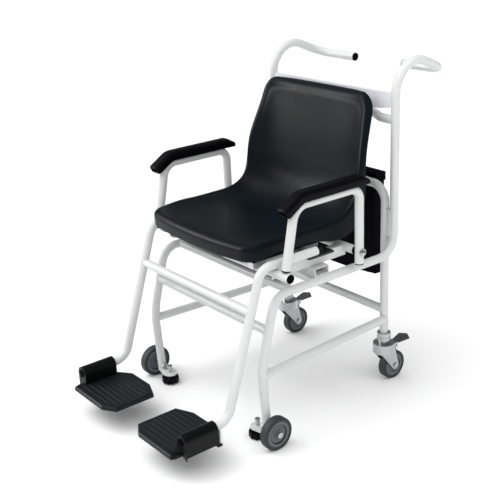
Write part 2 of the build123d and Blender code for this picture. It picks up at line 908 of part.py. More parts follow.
# Footplates, each turning on the front end of its tube
sleeve_bore = tube_r + sleeve_gap
sleeve_r = tube_r + sleeve_wall
sleeve_end_reach = sleeve_front_reach + free_gap + sleeve_rim_t
sleeve_length = sleeve_end_reach - sleeve_back_reach
plate_front_y = at(plate_front_reach)
plate_points = [
    (footrest_x, at(sleeve_back_reach)),
    (footrest_x - plate_outer_cut, at(plate_back_reach)),
    (plate_corner_x, at(plate_back_reach)),
    (plate_inner_x, at(plate_back_reach + plate_inner_back_cut)),
    (plate_inner_x, at(plate_front_reach - plate_inner_front_cut)),
    (plate_front_corner_x, plate_front_y),
    (plate_outer_x, plate_front_y),
    (footrest_x, plate_front_y + plate_t),
]
with BuildPart() as footplate:
    with BuildSketch(Plane.XY.offset(plate_low_z)):
        Polygon(*plate_points, align=None)
    extrude(amount=plate_t)
    chamfer(footplate.faces().sort_by(Axis.Z)[-1].edges(), length=plate_edge_chamfer)
    with BuildSketch(Plane.XY.offset(plate_top_z)):
        Polygon(*plate_points, align=None)
        offset(amount=-rib_inset, kind=Kind.INTERSECTION, mode=Mode.REPLACE)
        rib_pitch = (plate_length - 2 * rib_inset) / rib_count
        with Locations(((plate_inner_x + footrest_x) / 2, (at(plate_back_reach) + plate_front_y) / 2)):
            with GridLocations(0, rib_pitch, 1, rib_count):
                Rectangle(footrest_x, rib_w, mode=Mode.INTERSECT)
    extrude(amount=rib_h)
    with BuildSketch(Plane((0, at(sleeve_back_reach), 0), x_dir=(1, 0, 0), z_dir=(0, -1, 0))):
        with Locations((footrest_x, footrest_low_z)):
            Circle(sleeve_r)
        with Locations((footrest_x, (footrest_low_z + skirt_low_z) / 2)):
            Rectangle(2 * sleeve_r, footrest_low_z - skirt_low_z)
    extrude(amount=sleeve_length)
    add(block(
        (footrest_x, at(sleeve_back_reach + lip_t), skirt_low_z - stop_lug_h),
        (footrest_x + stop_w, at(sleeve_back_reach - stop_lug_l), skirt_low_z),
    ))
    for lip_reach in (sleeve_back_reach, sleeve_end_reach - lip_t):
        with BuildSketch(Plane((0, at(lip_reach), 0), x_dir=(1, 0, 0), z_dir=(0, -1, 0))):
            Polygon(
                (footrest_x + sleeve_r - lip_w, skirt_low_z),
                (footrest_x + sleeve_r, skirt_low_z - lip_drop),
                (footrest_x + sleeve_r, skirt_low_z),
                align=None,
            )
        extrude(amount=lip_t)
    with BuildSketch(Plane((0, at(sleeve_back_reach), 0), x_dir=(1, 0, 0), z_dir=(0, -1, 0))):
        with Locations((footrest_x, footrest_low_z)):
            Circle(sleeve_bore)
    extrude(amount=sleeve_length - sleeve_rim_t, mode=Mode.SUBTRACT)
    with BuildSketch(Plane((0, at(sleeve_back_reach), 0), x_dir=(1, 0, 0), z_dir=(0, -1, 0))):
        with Locations((footrest_x, footrest_low_z)):
            Circle(sleeve_rim_r)
    extrude(amount=sleeve_length, mode=Mode.SUBTRACT)
finish(footplate.part, "footplate_left")
finish(mirror_x(footplate.part), "footplate_right")

# Armrests: a tube loop pivoting on the rear cross tube, with a pad on top
cross_top_z = cross_z + tube_r
arm_slant = atan2(arm_post_slant, arm_top_z - cross_top_z)
arm_front_low_z = cross_top_z + free_gap + arm_plug_t + tube_r * sin(arm_slant)
arm_points = [
    (arm_x, at(arm_front_top_reach + arm_post_slant), arm_front_low_z),
    (arm_x, at(arm_front_top_reach), arm_top_z),
    (arm_x, rear_cross_y, arm_top_z),
    (arm_x, rear_cross_y, arm_rear_low_z),
]
arm_radii = [arm_front_radius, arm_rear_radius]
with BuildPart() as arm:
    add(tube(arm_points, arm_radii))
    add(pin_x(arm_x - tube_od, rear_cross_y, cross_z, pivot_r + running_gap, 2 * tube_od),
        mode=Mode.SUBTRACT)
finish(arm.part, "armrest_tube_left")
finish(mirror_x(arm.part), "armrest_tube_right")
arm_bar = bar(arm_points, arm_radii)


def plug(place, way, length, flange_t, flange_r):
    """Tube plug: a disc on the tube's end at a place, and a spigot that runs into the tube."""
    with BuildPart() as stopper:
        with BuildSketch(Plane(place, z_dir=way)):
            Circle(bore_r - cap_gap)
        extrude(amount=length)
        with BuildSketch(Plane(place, z_dir=way)):
            Circle(flange_r)
        extrude(amount=-flange_t)
    return stopper.part


arm_path = run(arm_points, arm_radii)
arm_plugs = [
    plug(arm_path @ 0, arm_path % 0, arm_plug_l, arm_plug_t, tube_r),
    plug(arm_path @ 1, arm_path % 1 * -1, arm_plug_l, arm_plug_t, tube_r),
]
finish(Compound(children=arm_plugs), "armrest_plugs_left")
finish(Compound(children=[mirror_x(piece) for piece in arm_plugs]), "armrest_plugs_right")

pad_h = arm_pad_top_z - arm_pad_low_z
pad_turn = radians(arm_pad_crank)
pad_miter = pad_h / 2 * tan(pad_turn / 2)
pad_tip_y = at(arm_pad_bend_reach + pad_miter) - arm_pad_slope_len * cos(pad_turn)
pad_tip_z = arm_pad_top_z - arm_pad_slope_len * sin(pad_turn)
pad_profile = [
    (at(arm_pad_back_reach), arm_pad_low_z),
    (at(arm_pad_back_reach), arm_pad_low_z + arm_pad_end_h),
    (at(arm_pad_back_reach + arm_pad_end_slope), arm_pad_top_z),
    (at(arm_pad_bend_reach + pad_miter), arm_pad_top_z),
    (pad_tip_y, pad_tip_z),
    (pad_tip_y + pad_h * sin(pad_turn), pad_tip_z - pad_h * cos(pad_turn)),
    (at(arm_pad_bend_reach - pad_miter), arm_pad_low_z),
]
with BuildPart() as pad:
    with BuildSketch(Plane((arm_x - arm_pad_w / 2, 0, 0), x_dir=(0, 1, 0), z_dir=(1, 0, 0))):
        Polygon(*pad_profile, align=None)
    extrude(amount=arm_pad_w)
    upper_faces = pad.faces().filter_by(lambda face: face.normal_at().Z > sin(pi / 8))
    ends = upper_faces.edges().filter_by(Axis.X, reverse=True)
    chamfer(ends, length=arm_pad_side_chamfer)
    add(arm_bar, mode=Mode.SUBTRACT)
arm_pad = pad.part.solids().sort_by(SortBy.VOLUME)[-1]
finish(arm_pad, "armrest_pad_left")
finish(mirror_x(arm_pad), "armrest_pad_right")

cross_cap_x = rear_cross_x + cap_rim_t
post_outer_x = arm_x + tube_r
washer_x = post_outer_x + free_gap
pivot_points = [
    (0, cross_cap_x - cap_plug_l),
    (pivot_r, cross_cap_x - cap_plug_l),
    (pivot_r, washer_x),
    (pivot_washer_r, washer_x),
    (pivot_washer_r, washer_x + pivot_washer_t),
    (pivot_nut_r, washer_x + pivot_washer_t),
    (pivot_nut_r, washer_x + pivot_washer_t + pivot_nut_h / 2),
    (0, washer_x + pivot_washer_t + pivot_nut_h),
]
finish(pair(turned_x(pivot_points, 0, rear_cross_y, cross_z)), "armrest_pivot_bolts")


def ease(share):
    """Smooth step from 0 to 1."""
    share = min(1, max(0, share))
    return share * share * (3 - 2 * share)


def seat_profile():
    """Middle line of the seat from front lip to top of back: list of (y, z, angle) and its length."""
    flat = -radians(pan_fall)
    steep = radians(back_angle)
    turn_length = bend_radius * (steep - flat) * bend_stretch_share
    length = pan_length + turn_length + back_length
    step = length / profile_steps
    y = at(seat_front_reach)
    z = seat_front_z
    table = []
    for index in range(profile_steps + 1):
        place = index * step
        angle = flat + (steep - flat) * ease((place - pan_length) / turn_length)
        fall_share = max(0, 1 - place / waterfall_length)
        angle += radians(waterfall_angle) * fall_share * fall_share
        top_share = max(0, (place - length + top_lean_length) / top_lean_length)
        angle += radians(top_lean) * top_share * top_share
        table.append((y, z, angle))
        y += cos(angle) * step
        z += sin(angle) * step
    return table, length, pan_length + turn_length / 2


seat_line, seat_length, seat_middle = seat_profile()


def seat_half(place):
    """Half width of the seat at a place along its middle line, with rounded corners at both ends."""
    share = place / seat_length
    middle = seat_middle / seat_length
    if share < middle:
        grow = min(1, share / (middle * front_grow_share)) * pi / 2
        half = seat_front_half + (seat_mid_half - seat_front_half) * sin(grow)
    else:
        half = seat_mid_half + (seat_back_half - seat_mid_half) * ease((share - middle) / back_grow_share)
        narrow = ease((share - middle - top_start_share) / (1 - middle - top_start_share))
        half += (seat_top_half - seat_back_half) * narrow
    for left, corner in ((place, seat_front_corner), (seat_length - place, seat_top_corner)):
        if left < corner:
            turn = (corner - left) / corner * corner_turn_share
            half -= corner * (1 - sqrt(1 - turn * turn))
    return half


def seat_lift(place):
    """How far the seat's sides rise over its middle line."""
    back = ease((place / seat_length - lift_start_share) / lift_span_share)
    lift = side_lift * (1 - back) + back_wrap * back
    lift *= 1 - top_flat_share * ease((place / seat_length - top_turn_share) / (1 - top_turn_share))
    return lift * (front_flat_share + (1 - front_flat_share) * ease(place / (seat_length * front_rise_share)))


def seat_skirt(place):
    """Length of the rim's skirt at a place along the middle line."""
    skirt = rim_skirt_front + (rim_skirt_back - rim_skirt_front) * ease(place / seat_length)
    return skirt + rim_skirt_deep * exp(-((place - seat_middle + rim_skirt_shift) / rim_skirt_span) ** 2)


def rolled(distance, reach_in):
    """Place across the sheet and turn of the rim after this distance from the middle."""
    if distance <= reach_in:
        return distance, 0
    turn = (distance - reach_in) / rim_r
    skirt = max(0, turn - pi / 2) * rim_r
    return reach_in + rim_r * sin(min(turn, pi / 2)) + skirt * skirt_flare_share, turn


def seat_point(across, along):
    """Point of the seat's upper side, from two shares: across from -1 to 1, along from 0 to 1."""
    middle = seat_length / 2
    end_skirt = rim_skirt_back if along > 1 / 2 else rim_skirt_front
    reach_out = middle - rim_r + rim_r * pi / 2 + end_skirt
    from_middle = (2 * along - 1) * reach_out
    inward, end_turn = rolled(abs(from_middle), middle - rim_r)
    place = middle + copysign(min(inward, middle), from_middle)
    beyond = copysign(max(0, inward - middle), from_middle)
    half = seat_half(place)
    skirt = seat_skirt(place)
    width = half - rim_r + rim_r * pi / 2 + skirt
    x, side_turn = rolled(abs(across) * width, half - rim_r)
    turn = (side_turn ** corner_blend + end_turn ** corner_blend) ** (1 / corner_blend)
    share = x / half
    lift = seat_lift(place) * (lift_flat_share * share ** 2 + (1 - lift_flat_share) * share ** 5)
    lift -= rim_r * (1 - cos(min(turn, pi / 2))) + max(0, turn - pi / 2) * rim_r
    steps = place / seat_length * profile_steps
    index = min(profile_steps - 1, int(steps))
    near, far = seat_line[index], seat_line[index + 1]
    y, z, angle = (start + (end - start) * (steps - index) for start, end in zip(near, far))
    y += cos(angle) * beyond + front_bow * share ** 2 * (1 - ease(place / front_bow_span))
    z += sin(angle) * beyond
    return Vector(copysign(x, across), y - sin(angle) * lift, z + cos(angle) * lift)


def seat_grids():
    """Points of the seat's upper side and of its underside, one shell thickness apart."""
    upper = []
    under = []
    for row in range(along_points):
        along = row / (along_points - 1)
        upper_row = []
        under_row = []
        for column in range(across_points):
            across = 2 * column / (across_points - 1) - 1
            point = seat_point(across, along)
            side = seat_point(across + grid_step, along) - seat_point(across - grid_step, along)
            ahead = seat_point(across, along + grid_step) - seat_point(across, along - grid_step)
            normal = side.cross(ahead).normalized()
            upper_row.append(point)
            under_row.append(point - normal * seat_t)
        upper.append(upper_row)
        under.append(under_row)
    return upper, under


def outline_edges(face):
    """Left, right, front and top edge of a seat face."""
    edges = face.edges()
    sides = edges.sort_by(Axis.X)
    ends = edges.sort_by(Axis.Z)
    return sides[0], sides[-1], edges.sort_by(Axis.Y)[0], ends[-1]


upper_grid, under_grid = seat_grids()
upper_face = Face.make_surface_from_array_of_points(upper_grid, tol=surface_tolerance)
under_face = Face.make_surface_from_array_of_points(under_grid, tol=surface_tolerance)
rim_faces = [
    Face.make_surface_from_curves(high, low)
    for high, low in zip(outline_edges(upper_face), outline_edges(under_face))
]
shell_solid = Solid(Shell([upper_face, under_face, *rim_faces]))

# Seat shell, with four bosses under its pan for the seat screws
carrier_low = bridge_z + bridge_t
carrier_top = carrier_low + carrier_h
boss_low = carrier_top + spacer_h
fix_places = [
    (side * carrier_x, at(fix_reach))
    for side, name in SIDES
    for fix_reach in (seat_fix_front_reach, seat_fix_back_reach)
]
bosses = []
for fix_x, fix_y in fix_places:
    with BuildPart() as boss:
        add(pin_z(fix_x, fix_y, boss_low, boss_r, seat_front_z + boss_r - boss_low))
        add(shell_solid, mode=Mode.SUBTRACT)
        add(pin_z(fix_x, fix_y, boss_low, seat_screw_r, seat_insert_depth), mode=Mode.SUBTRACT)
    bosses.append(boss.part.solids().sort_by(Axis.Z)[0])
with BuildPart() as seat:
    add(shell_solid)
    for boss_solid in bosses:
        add(boss_solid)
finish(seat.part, "seat_shell")

# Fluted carriers under the seat, with spacers and screws
with BuildPart() as carrier:
    add(block(
        (carrier_x - carrier_w / 2, at(carrier_front_reach), carrier_low),
        (carrier_x + carrier_w / 2, at(carrier_back_reach), carrier_top),
    ))
    for side, name in SIDES:
        carrier_side_x = carrier_x + side * carrier_w / 2
        carrier_mid_z = (carrier_low + carrier_top) / 2
        with BuildSketch(Plane((carrier_side_x, at(carrier_front_reach), carrier_mid_z),
                               x_dir=(1, 0, 0), z_dir=(0, 1, 0))):
            with GridLocations(0, carrier_h / carrier_flutes, 1, carrier_flutes):
                Circle(carrier_flute)
        extrude(amount=carrier_front_reach - carrier_back_reach, mode=Mode.SUBTRACT)
    for fix_reach in (seat_fix_front_reach, seat_fix_back_reach):
        add(pin_z(carrier_x, at(fix_reach), carrier_low, seat_screw_r, carrier_h), mode=Mode.SUBTRACT)
finish(pair(carrier.part), "seat_carriers")

spacers = []
seat_screws = []
for fix_x, fix_y in fix_places:
    with BuildPart() as seat_spacer:
        add(pin_z(fix_x, fix_y, carrier_top, spacer_r, spacer_h))
        add(pin_z(fix_x, fix_y, carrier_top, seat_screw_r, spacer_h), mode=Mode.SUBTRACT)
    spacers.append(seat_spacer.part)
    with BuildPart() as seat_screw:
        add(pin_z(fix_x, fix_y, carrier_low, seat_screw_r, carrier_h + spacer_h + seat_insert_depth))
        add(pin_z(fix_x, fix_y, carrier_low, seat_screw_head_r, -seat_screw_head_h))
    seat_screws.append(seat_screw.part)
finish(Compound(children=spacers), "seat_spacers")
finish(Compound(children=seat_screws), "seat_screws")

# Caps in the open tube ends
handle_end = (side_x - handle_length, rear_leg_y + handle_reach, handle_low_z)
tube_plugs = [
    plug(handle_end, (1, 0, 0), cap_plug_l, cap_rim_t, tube_r),
    plug((front_cross_x, front_cross_y, cross_z), (-1, 0, 0), cap_plug_l, cap_rim_t, tube_r),
    plug((footrest_x, at(footrest_back_reach), footrest_top_z), (0, -1, 0), cap_plug_l, cap_rim_t, tube_r),
]
with BuildPart() as pivot_plug:
    add(plug((rear_cross_x, rear_cross_y, cross_z), (-1, 0, 0), cap_plug_l, cap_rim_t, tube_r))
    add(pin_x(rear_cross_x - cap_plug_l, rear_cross_y, cross_z, pivot_r, 2 * cap_plug_l),
        mode=Mode.SUBTRACT)
tube_plugs.append(pivot_plug.part)
with BuildPart() as retainer:
    add(plug((footrest_x, at(sleeve_front_reach), footrest_low_z), (0, 1, 0), cap_plug_l,
             sleeve_rim_t + 2 * free_gap, sleeve_rim_r - free_gap))
    with BuildSketch(Plane((footrest_x, at(sleeve_end_reach + free_gap), footrest_low_z), z_dir=(0, -1, 0))):
        Circle(retainer_r)
    extrude(amount=retainer_t)
tube_plugs.append(retainer.part)
finish(Compound(children=[solid for piece in tube_plugs for solid in pair(piece).solids()]), "tube_end_caps")

# Rear housing between the hoop's legs: a flat case with lipped ends, its cover and its battery
housing_y = rear_leg_y + tube_r
housing_back = housing_y + housing_d


def housing_outline(inset):
    """Outline of the rear housing seen from behind, this far inside its edge."""
    half = housing_half - inset
    low = housing_low_z + inset
    top = housing_top_z - inset
    with BuildLine() as line:
        Polyline((-half, low), (-half, top), (half, top), (half, low))
        ThreePointArc((half, low), (0, low - housing_sag), (-half, low))
    return line.line


with BuildPart() as housing:
    with BuildSketch(Plane((0, housing_y, 0), x_dir=(1, 0, 0), z_dir=(0, -1, 0))):
        add(housing_outline(0))
        make_face()
    extrude(amount=housing_lid_t - housing_d)
    for low in (housing_low_z, housing_top_z - housing_lip_h):
        add(block(
            (-housing_half - housing_flare, housing_y, low),
            (housing_half + housing_flare, housing_back - housing_lid_t, low + housing_lip_h),
        ))
    with BuildSketch(Plane((0, housing_y + housing_wall, 0), x_dir=(1, 0, 0), z_dir=(0, -1, 0))):
        add(housing_outline(housing_wall))
        make_face()
    extrude(amount=-housing_d, mode=Mode.SUBTRACT)
    charge_x = housing_half - charge_inset
    add(pin_z(charge_x, housing_back - housing_d / 2, housing_low_z - housing_sag, charge_ring_r,
              housing_sag + charge_ring_t))
    add(pin_z(charge_x, housing_back - housing_d / 2, housing_low_z - housing_sag, charge_r,
              2 * housing_sag), mode=Mode.SUBTRACT)
finish(housing.part, "rear_housing")

with BuildPart() as housing_cover:
    with BuildSketch(Plane((0, housing_back - housing_lid_t, 0), x_dir=(1, 0, 0), z_dir=(0, -1, 0))):
        add(housing_outline(0))
        make_face()
        for low in (housing_low_z, housing_top_z - housing_lip_h):
            with Locations((0, low + housing_lip_h / 2)):
                Rectangle(2 * (housing_half + housing_flare), housing_lip_h)
    extrude(amount=-housing_lid_t)
finish(housing_cover.part, "rear_housing_cover")
finish(block(
    (-battery_w / 2, housing_y + housing_wall, battery_low_z),
    (battery_w / 2, housing_y + housing_wall + battery_d, battery_low_z + battery_h),
), "battery_pack")

# Display panel: a shallow channel between the uprights, open to the rear
panel_front = rear_leg_y + display_front - panel_d


def panel_outline(inset):
    """Outline of the panel seen from the front, this far inside its edge."""
    top = panel_top_z - inset
    low = panel_top_z - panel_h + inset
    return [
        (-side_x, low + panel_taper_h),
        (-side_x, top),
        (side_x, top),
        (side_x, low + panel_taper_h),
        (side_x - panel_taper_l, low),
        (panel_taper_l - side_x, low),
    ]


with BuildPart() as panel:
    with BuildSketch(Plane((0, panel_front, 0), x_dir=(1, 0, 0), z_dir=(0, -1, 0))):
        Polygon(*panel_outline(0), align=None)
    extrude(amount=-panel_d)
    with BuildSketch(Plane((0, panel_front + panel_wall, 0), x_dir=(1, 0, 0), z_dir=(0, -1, 0))):
        Polygon(*panel_outline(panel_wall), align=None)
    extrude(amount=-panel_d, mode=Mode.SUBTRACT)
    for side_bar in side_bars:
        add(side_bar, mode=Mode.SUBTRACT)
finish(panel.part.solids().sort_by(SortBy.VOLUME)[-1], "display_panel")

# Crossbar that carries the display, bowed to the rear
bow_points = [
    (-side_x, rear_leg_y, bow_z),
    (-bow_straight, rear_leg_y, bow_z),
    (-bow_in, rear_leg_y + bow_back, bow_z),
    (bow_in, rear_leg_y + bow_back, bow_z),
    (bow_straight, rear_leg_y, bow_z),
    (side_x, rear_leg_y, bow_z),
]
with BuildPart() as bow:
    add(tube(bow_points, [bow_radius] * len(bow_points[2:])))
    for side_bar in side_bars:
        add(side_bar, mode=Mode.SUBTRACT)
finish(bow.part.solids().sort_by(SortBy.VOLUME)[-1], "display_crossbar")

# Display: a wedge case on the crossbar, whose sloping cover faces up and to the rear
case_low = bow_z + tube_r
case_drop = display_top_z - display_heel_z
case_run = display_low_d - display_top_d
case_slope = atan2(case_drop, case_run)
slope_length = case_run / cos(case_slope)
case_sink = cover_t / cos(case_slope)
case_front = rear_leg_y + display_front
case_back = rear_leg_y + display_low_d
case_ridge = rear_leg_y + display_top_d
case_points = [
    (case_front, case_low),
    (case_front, display_top_z),
    (case_ridge, display_top_z),
    (case_ridge, display_top_z - case_sink),
    (case_back, display_heel_z - case_sink),
    (case_back, case_low),
]
hollow_points = [
    (case_front + display_wall, case_low + display_wall),
    (case_front + display_wall, display_top_z - display_wall),
    (case_ridge - display_wall, display_top_z - display_wall),
    (case_ridge + case_sink, display_top_z - display_wall),
    (case_back - display_wall, display_heel_z),
    (case_back - display_wall, case_low + display_wall),
]
face_plane = Plane(
    (0, (case_ridge + case_back) / 2, (display_top_z + display_heel_z) / 2),
    x_dir=(-1, 0, 0),
    z_dir=(0, sin(case_slope), cos(case_slope)),
)
key_places = [(key_pitch * step, -keys_down) for step in (-1, 0, 1)]
screw_places = [(x, y) for x in (-cover_screw_x, cover_screw_x) for y in (-cover_screw_y, cover_screw_y)]
post_places = [(x, y) for x in (-board_w / 2, board_w / 2) for y in (-post_y, post_y)]
with BuildPart() as case:
    with BuildSketch(Plane((-display_half, 0, 0), x_dir=(0, 1, 0), z_dir=(1, 0, 0))):
        Polygon(*case_points, align=None)
    extrude(amount=2 * display_half)
    with BuildSketch(Plane((display_wall - display_half, 0, 0), x_dir=(0, 1, 0), z_dir=(1, 0, 0))):
        Polygon(*hollow_points, align=None)
    extrude(amount=2 * (display_half - display_wall), mode=Mode.SUBTRACT)
    with BuildSketch(face_plane.offset(-cover_t)):
        with Locations(*screw_places):
            Circle(screw_boss_r)
            Circle(screw_r, mode=Mode.SUBTRACT)
    extrude(amount=cover_t - screw_l)
finish(case.part, "display_housing")

with BuildPart() as cover:
    with BuildSketch(face_plane):
        with Locations((0, -cover_t * tan(case_slope) / 2)):
            Rectangle(2 * display_half, slope_length - cover_t * tan(case_slope))
        with Locations((0, window_up)):
            Rectangle(window_w, window_h, mode=Mode.SUBTRACT)
        with Locations(*key_places):
            Rectangle(key_w + 2 * key_gap, key_h + 2 * key_gap, mode=Mode.SUBTRACT)
        with Locations(*screw_places):
            Circle(screw_r, mode=Mode.SUBTRACT)
    extrude(amount=-cover_t)
    with BuildSketch(face_plane.offset(-cover_t)):
        with Locations(*post_places):
            Circle(post_r)
    extrude(amount=cover_t - board_drop)
finish(cover.part, "display_cover")


def face_slab(width, height, up, top, thickness):
    """Slab parallel to the display's face, with its upper side at this offset from the face."""
    with BuildPart() as slab:
        with BuildSketch(face_plane.offset(top)):
            with Locations((0, up)):
                Rectangle(width, height)
        extrude(amount=-thickness)
    return slab.part


finish(face_slab(window_w, window_h, window_up, 0, window_t), "display_window")
finish(face_slab(window_w + 2 * lcd_lap, window_h + 2 * lcd_lap, window_up, -cover_t, lcd_t), "display_lcd")
finish(face_slab(board_w + 2 * post_r, board_h, 0, -board_drop, board_t), "display_board")

for number, place in enumerate(key_places, start=1):
    with BuildPart() as key:
        with BuildSketch(face_plane.offset(key_over)):
            with Locations(place):
                RectangleRounded(key_w, key_h, key_round)
        extrude(amount=-key_over - cover_t - free_gap)
        with BuildSketch(face_plane.offset(-cover_t - free_gap)):
            with Locations(place):
                Rectangle(key_w + 2 * key_flange, key_h + 2 * key_flange)
        extrude(amount=-key_flange_t)
        with BuildSketch(face_plane.offset(-cover_t - free_gap)):
            with Locations(place):
                Circle(key_stem)
        extrude(amount=cover_t + 2 * free_gap + key_travel - board_drop)
    finish(key.part, "key_" + str(number))

cover_screws = []
for place in screw_places:
    with BuildPart() as cover_screw:
        with BuildSketch(face_plane):
            with Locations(place):
                Circle(screw_r)
        extrude(amount=-screw_l)
        with BuildSketch(face_plane):
            with Locations(place):
                Circle(screw_head_r)
        extrude(amount=screw_head_h)
    cover_screws.append(cover_screw.part)
finish(Compound(children=cover_screws), "display_screws")
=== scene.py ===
import json
from math import copysign, cos, exp, pi, radians, sin, sqrt, tan

import bpy
from mathutils import Matrix, Vector


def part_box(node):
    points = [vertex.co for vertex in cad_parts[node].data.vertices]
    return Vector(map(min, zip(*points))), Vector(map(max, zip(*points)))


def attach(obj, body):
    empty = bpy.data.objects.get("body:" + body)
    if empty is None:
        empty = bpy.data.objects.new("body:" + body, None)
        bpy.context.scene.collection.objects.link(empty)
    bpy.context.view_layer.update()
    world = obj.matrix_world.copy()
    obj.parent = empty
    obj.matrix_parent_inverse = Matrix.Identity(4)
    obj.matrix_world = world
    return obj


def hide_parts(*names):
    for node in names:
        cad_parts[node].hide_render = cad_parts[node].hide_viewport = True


# A chair scale's looks: metres, +Z up, the sitter faces -Y, +X is the sitter's left.
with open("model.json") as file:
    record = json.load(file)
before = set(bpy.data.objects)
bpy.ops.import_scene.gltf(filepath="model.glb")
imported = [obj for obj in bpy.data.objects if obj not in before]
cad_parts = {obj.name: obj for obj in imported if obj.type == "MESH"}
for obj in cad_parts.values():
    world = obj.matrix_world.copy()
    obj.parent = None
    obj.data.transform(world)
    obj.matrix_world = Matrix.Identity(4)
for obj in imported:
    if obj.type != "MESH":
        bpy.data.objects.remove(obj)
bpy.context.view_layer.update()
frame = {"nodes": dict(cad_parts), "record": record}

MM = 0.001
SIDES = ((1, "left"), (-1, "right"))
ROOT = "frame"
REAR_LEG_Y = 297.5 * MM


# Camera, placed where the photograph was taken
CAMERA_PLACE = Vector((2.0586, -1.6386, 1.4395))
CAMERA_YAW = radians(52.0)
CAMERA_PITCH = radians(20.6)
CAMERA_ROLL = radians(-2.4)
FOCAL_PIXELS = 957.3
IMAGE_PIXELS = 500
SENSOR = 36.0
CLIP_END = 200


def make_camera():
    """Camera with the photograph's place, angles and focal length."""
    ahead = Vector((
        -sin(CAMERA_YAW) * cos(CAMERA_PITCH),
        cos(CAMERA_YAW) * cos(CAMERA_PITCH),
        -sin(CAMERA_PITCH),
    ))
    level = Vector((cos(CAMERA_YAW), sin(CAMERA_YAW), 0))
    above = level.cross(ahead)
    right = level * cos(CAMERA_ROLL) + above * sin(CAMERA_ROLL)
    up = above * cos(CAMERA_ROLL) - level * sin(CAMERA_ROLL)
    data = bpy.data.cameras.new("camera")
    data.sensor_width = SENSOR
    data.lens = FOCAL_PIXELS / IMAGE_PIXELS * SENSOR
    data.clip_end = CLIP_END
    camera = bpy.data.objects.new("camera", data)
    camera.matrix_world = Matrix((
        (right.x, up.x, -ahead.x, CAMERA_PLACE.x),
        (right.y, up.y, -ahead.y, CAMERA_PLACE.y),
        (right.z, up.z, -ahead.z, CAMERA_PLACE.z),
        (0, 0, 0, 1),
    ))
    bpy.context.scene.collection.objects.link(camera)
    bpy.context.scene.camera = camera


# Lights
def area_light(name, place, target, size, power, mirrored):
    """Square light that looks at a target: a highlight where it is mirrored, or else a soft fill."""
    data = bpy.data.lights.new(name, "AREA")
    data.shape = "SQUARE"
    data.size = size
    data.energy = power
    light = bpy.data.objects.new(name, data)
    light.location = place
    light.rotation_euler = (Vector(target) - Vector(place)).to_track_quat("-Z", "Y").to_euler()
    light.visible_camera = False
    light.visible_glossy = mirrored
    light.visible_diffuse = not mirrored
    bpy.context.scene.collection.objects.link(light)


def sun_light(name, place, power, spread, mirrored):
    """Wide soft light from far away, from the side of a place."""
    data = bpy.data.lights.new(name, "SUN")
    data.energy = power
    data.angle = radians(spread)
    light = bpy.data.objects.new(name, data)
    light.rotation_euler = Vector(place).to_track_quat("Z", "Y").to_euler()
    light.visible_glossy = mirrored
    bpy.context.scene.collection.objects.link(light)


BRIGHT_WAY = Vector((0, -0.62, 0.78))
BRIGHT_START = -0.4
DIM_LIGHT = 0.1
BRIGHT_LIGHT = 0.45


def make_lights():
    """White room that is brightest overhead and in front, a broad sun and soft boxes."""
    world = bpy.data.worlds.new("room")
    world.use_nodes = True
    tree = world.node_tree
    shade = tree.nodes["Background"]
    place = tree.nodes.new("ShaderNodeTexCoord")
    along = tree.nodes.new("ShaderNodeVectorMath")
    along.operation = "DOT_PRODUCT"
    along.inputs[1].default_value = BRIGHT_WAY
    span = tree.nodes.new("ShaderNodeMapRange")
    span.inputs["From Min"].default_value = BRIGHT_START
    span.inputs["To Min"].default_value = DIM_LIGHT
    span.inputs["To Max"].default_value = BRIGHT_LIGHT
    tree.links.new(place.outputs["Generated"], along.inputs[0])
    tree.links.new(along.outputs["Value"], span.inputs["Value"])
    tree.links.new(span.outputs["Result"], shade.inputs["Strength"])
    shade.inputs["Color"].default_value = (1, 1, 1, 1)
    bpy.context.scene.world = world
    sun_light("dome", (-0.1, -0.3, 1), power=2.15, spread=110, mirrored=False)
    sun_light("sun", (-0.3, -0.45, 1), power=0.7, spread=40, mirrored=True)
    area_light("left_box", (-2.4, -2.2, 1.55), (0, 0.2, 0.85), size=1.1, power=62, mirrored=True)
    area_light("lip_box", (-2.4, -1.4, 2.3), (0, -0.1, 0.6), size=1.2, power=18, mirrored=True)
    area_light("top_box", (-0.9, -1.6, 2.4), (0, 0, 0.5), size=1.6, power=14, mirrored=False)
    area_light("back_box", (1.5, 0.5, 1.9), (0.26, 0.3, 0.95), size=0.8, power=7, mirrored=False)
    area_light("side_box", (2.4, -0.5, 1.1), (0.2, 0, 0.5), size=1.4, power=10, mirrored=False)
    bpy.context.scene.view_settings.view_transform = "Standard"


# Materials: colours are linear, and places are the rest pose's
BLACK = (0.0012, 0.001, 0.0022)
ZINC = (0.5, 0.505, 0.51)
PLATE_BLACK = (0.0065, 0.008, 0.0095)
# Painted shade for the footplate's sleeve: a deeper black than the plate's own black.
SLEEVE_PAINTED_SHADE = (0.0015, 0.0018, 0.0022)
HUB_GREY = (0.125, 0.13, 0.142)
FLOOR_COLOR = (0.93, 0.93, 0.934)
FLOOR_SIZE = 60
FOOT_KNOB_TOP = 21.4 * MM
SLEEVE_INNER_X = 234.2 * MM
HUB_RAMP = 100 * MM
HUB_GROOVE = (25.8 * MM, 26.4 * MM, 28.4 * MM, 29 * MM)
HUB_DISC_SHADE = 0.9
# Painted shade in the hub's groove: the ring between the groove's radii is drawn this much darker.
HUB_GROOVE_PAINTED_SHADE = 0.1
EDGE_SAMPLES = 4
METAL = 1.0


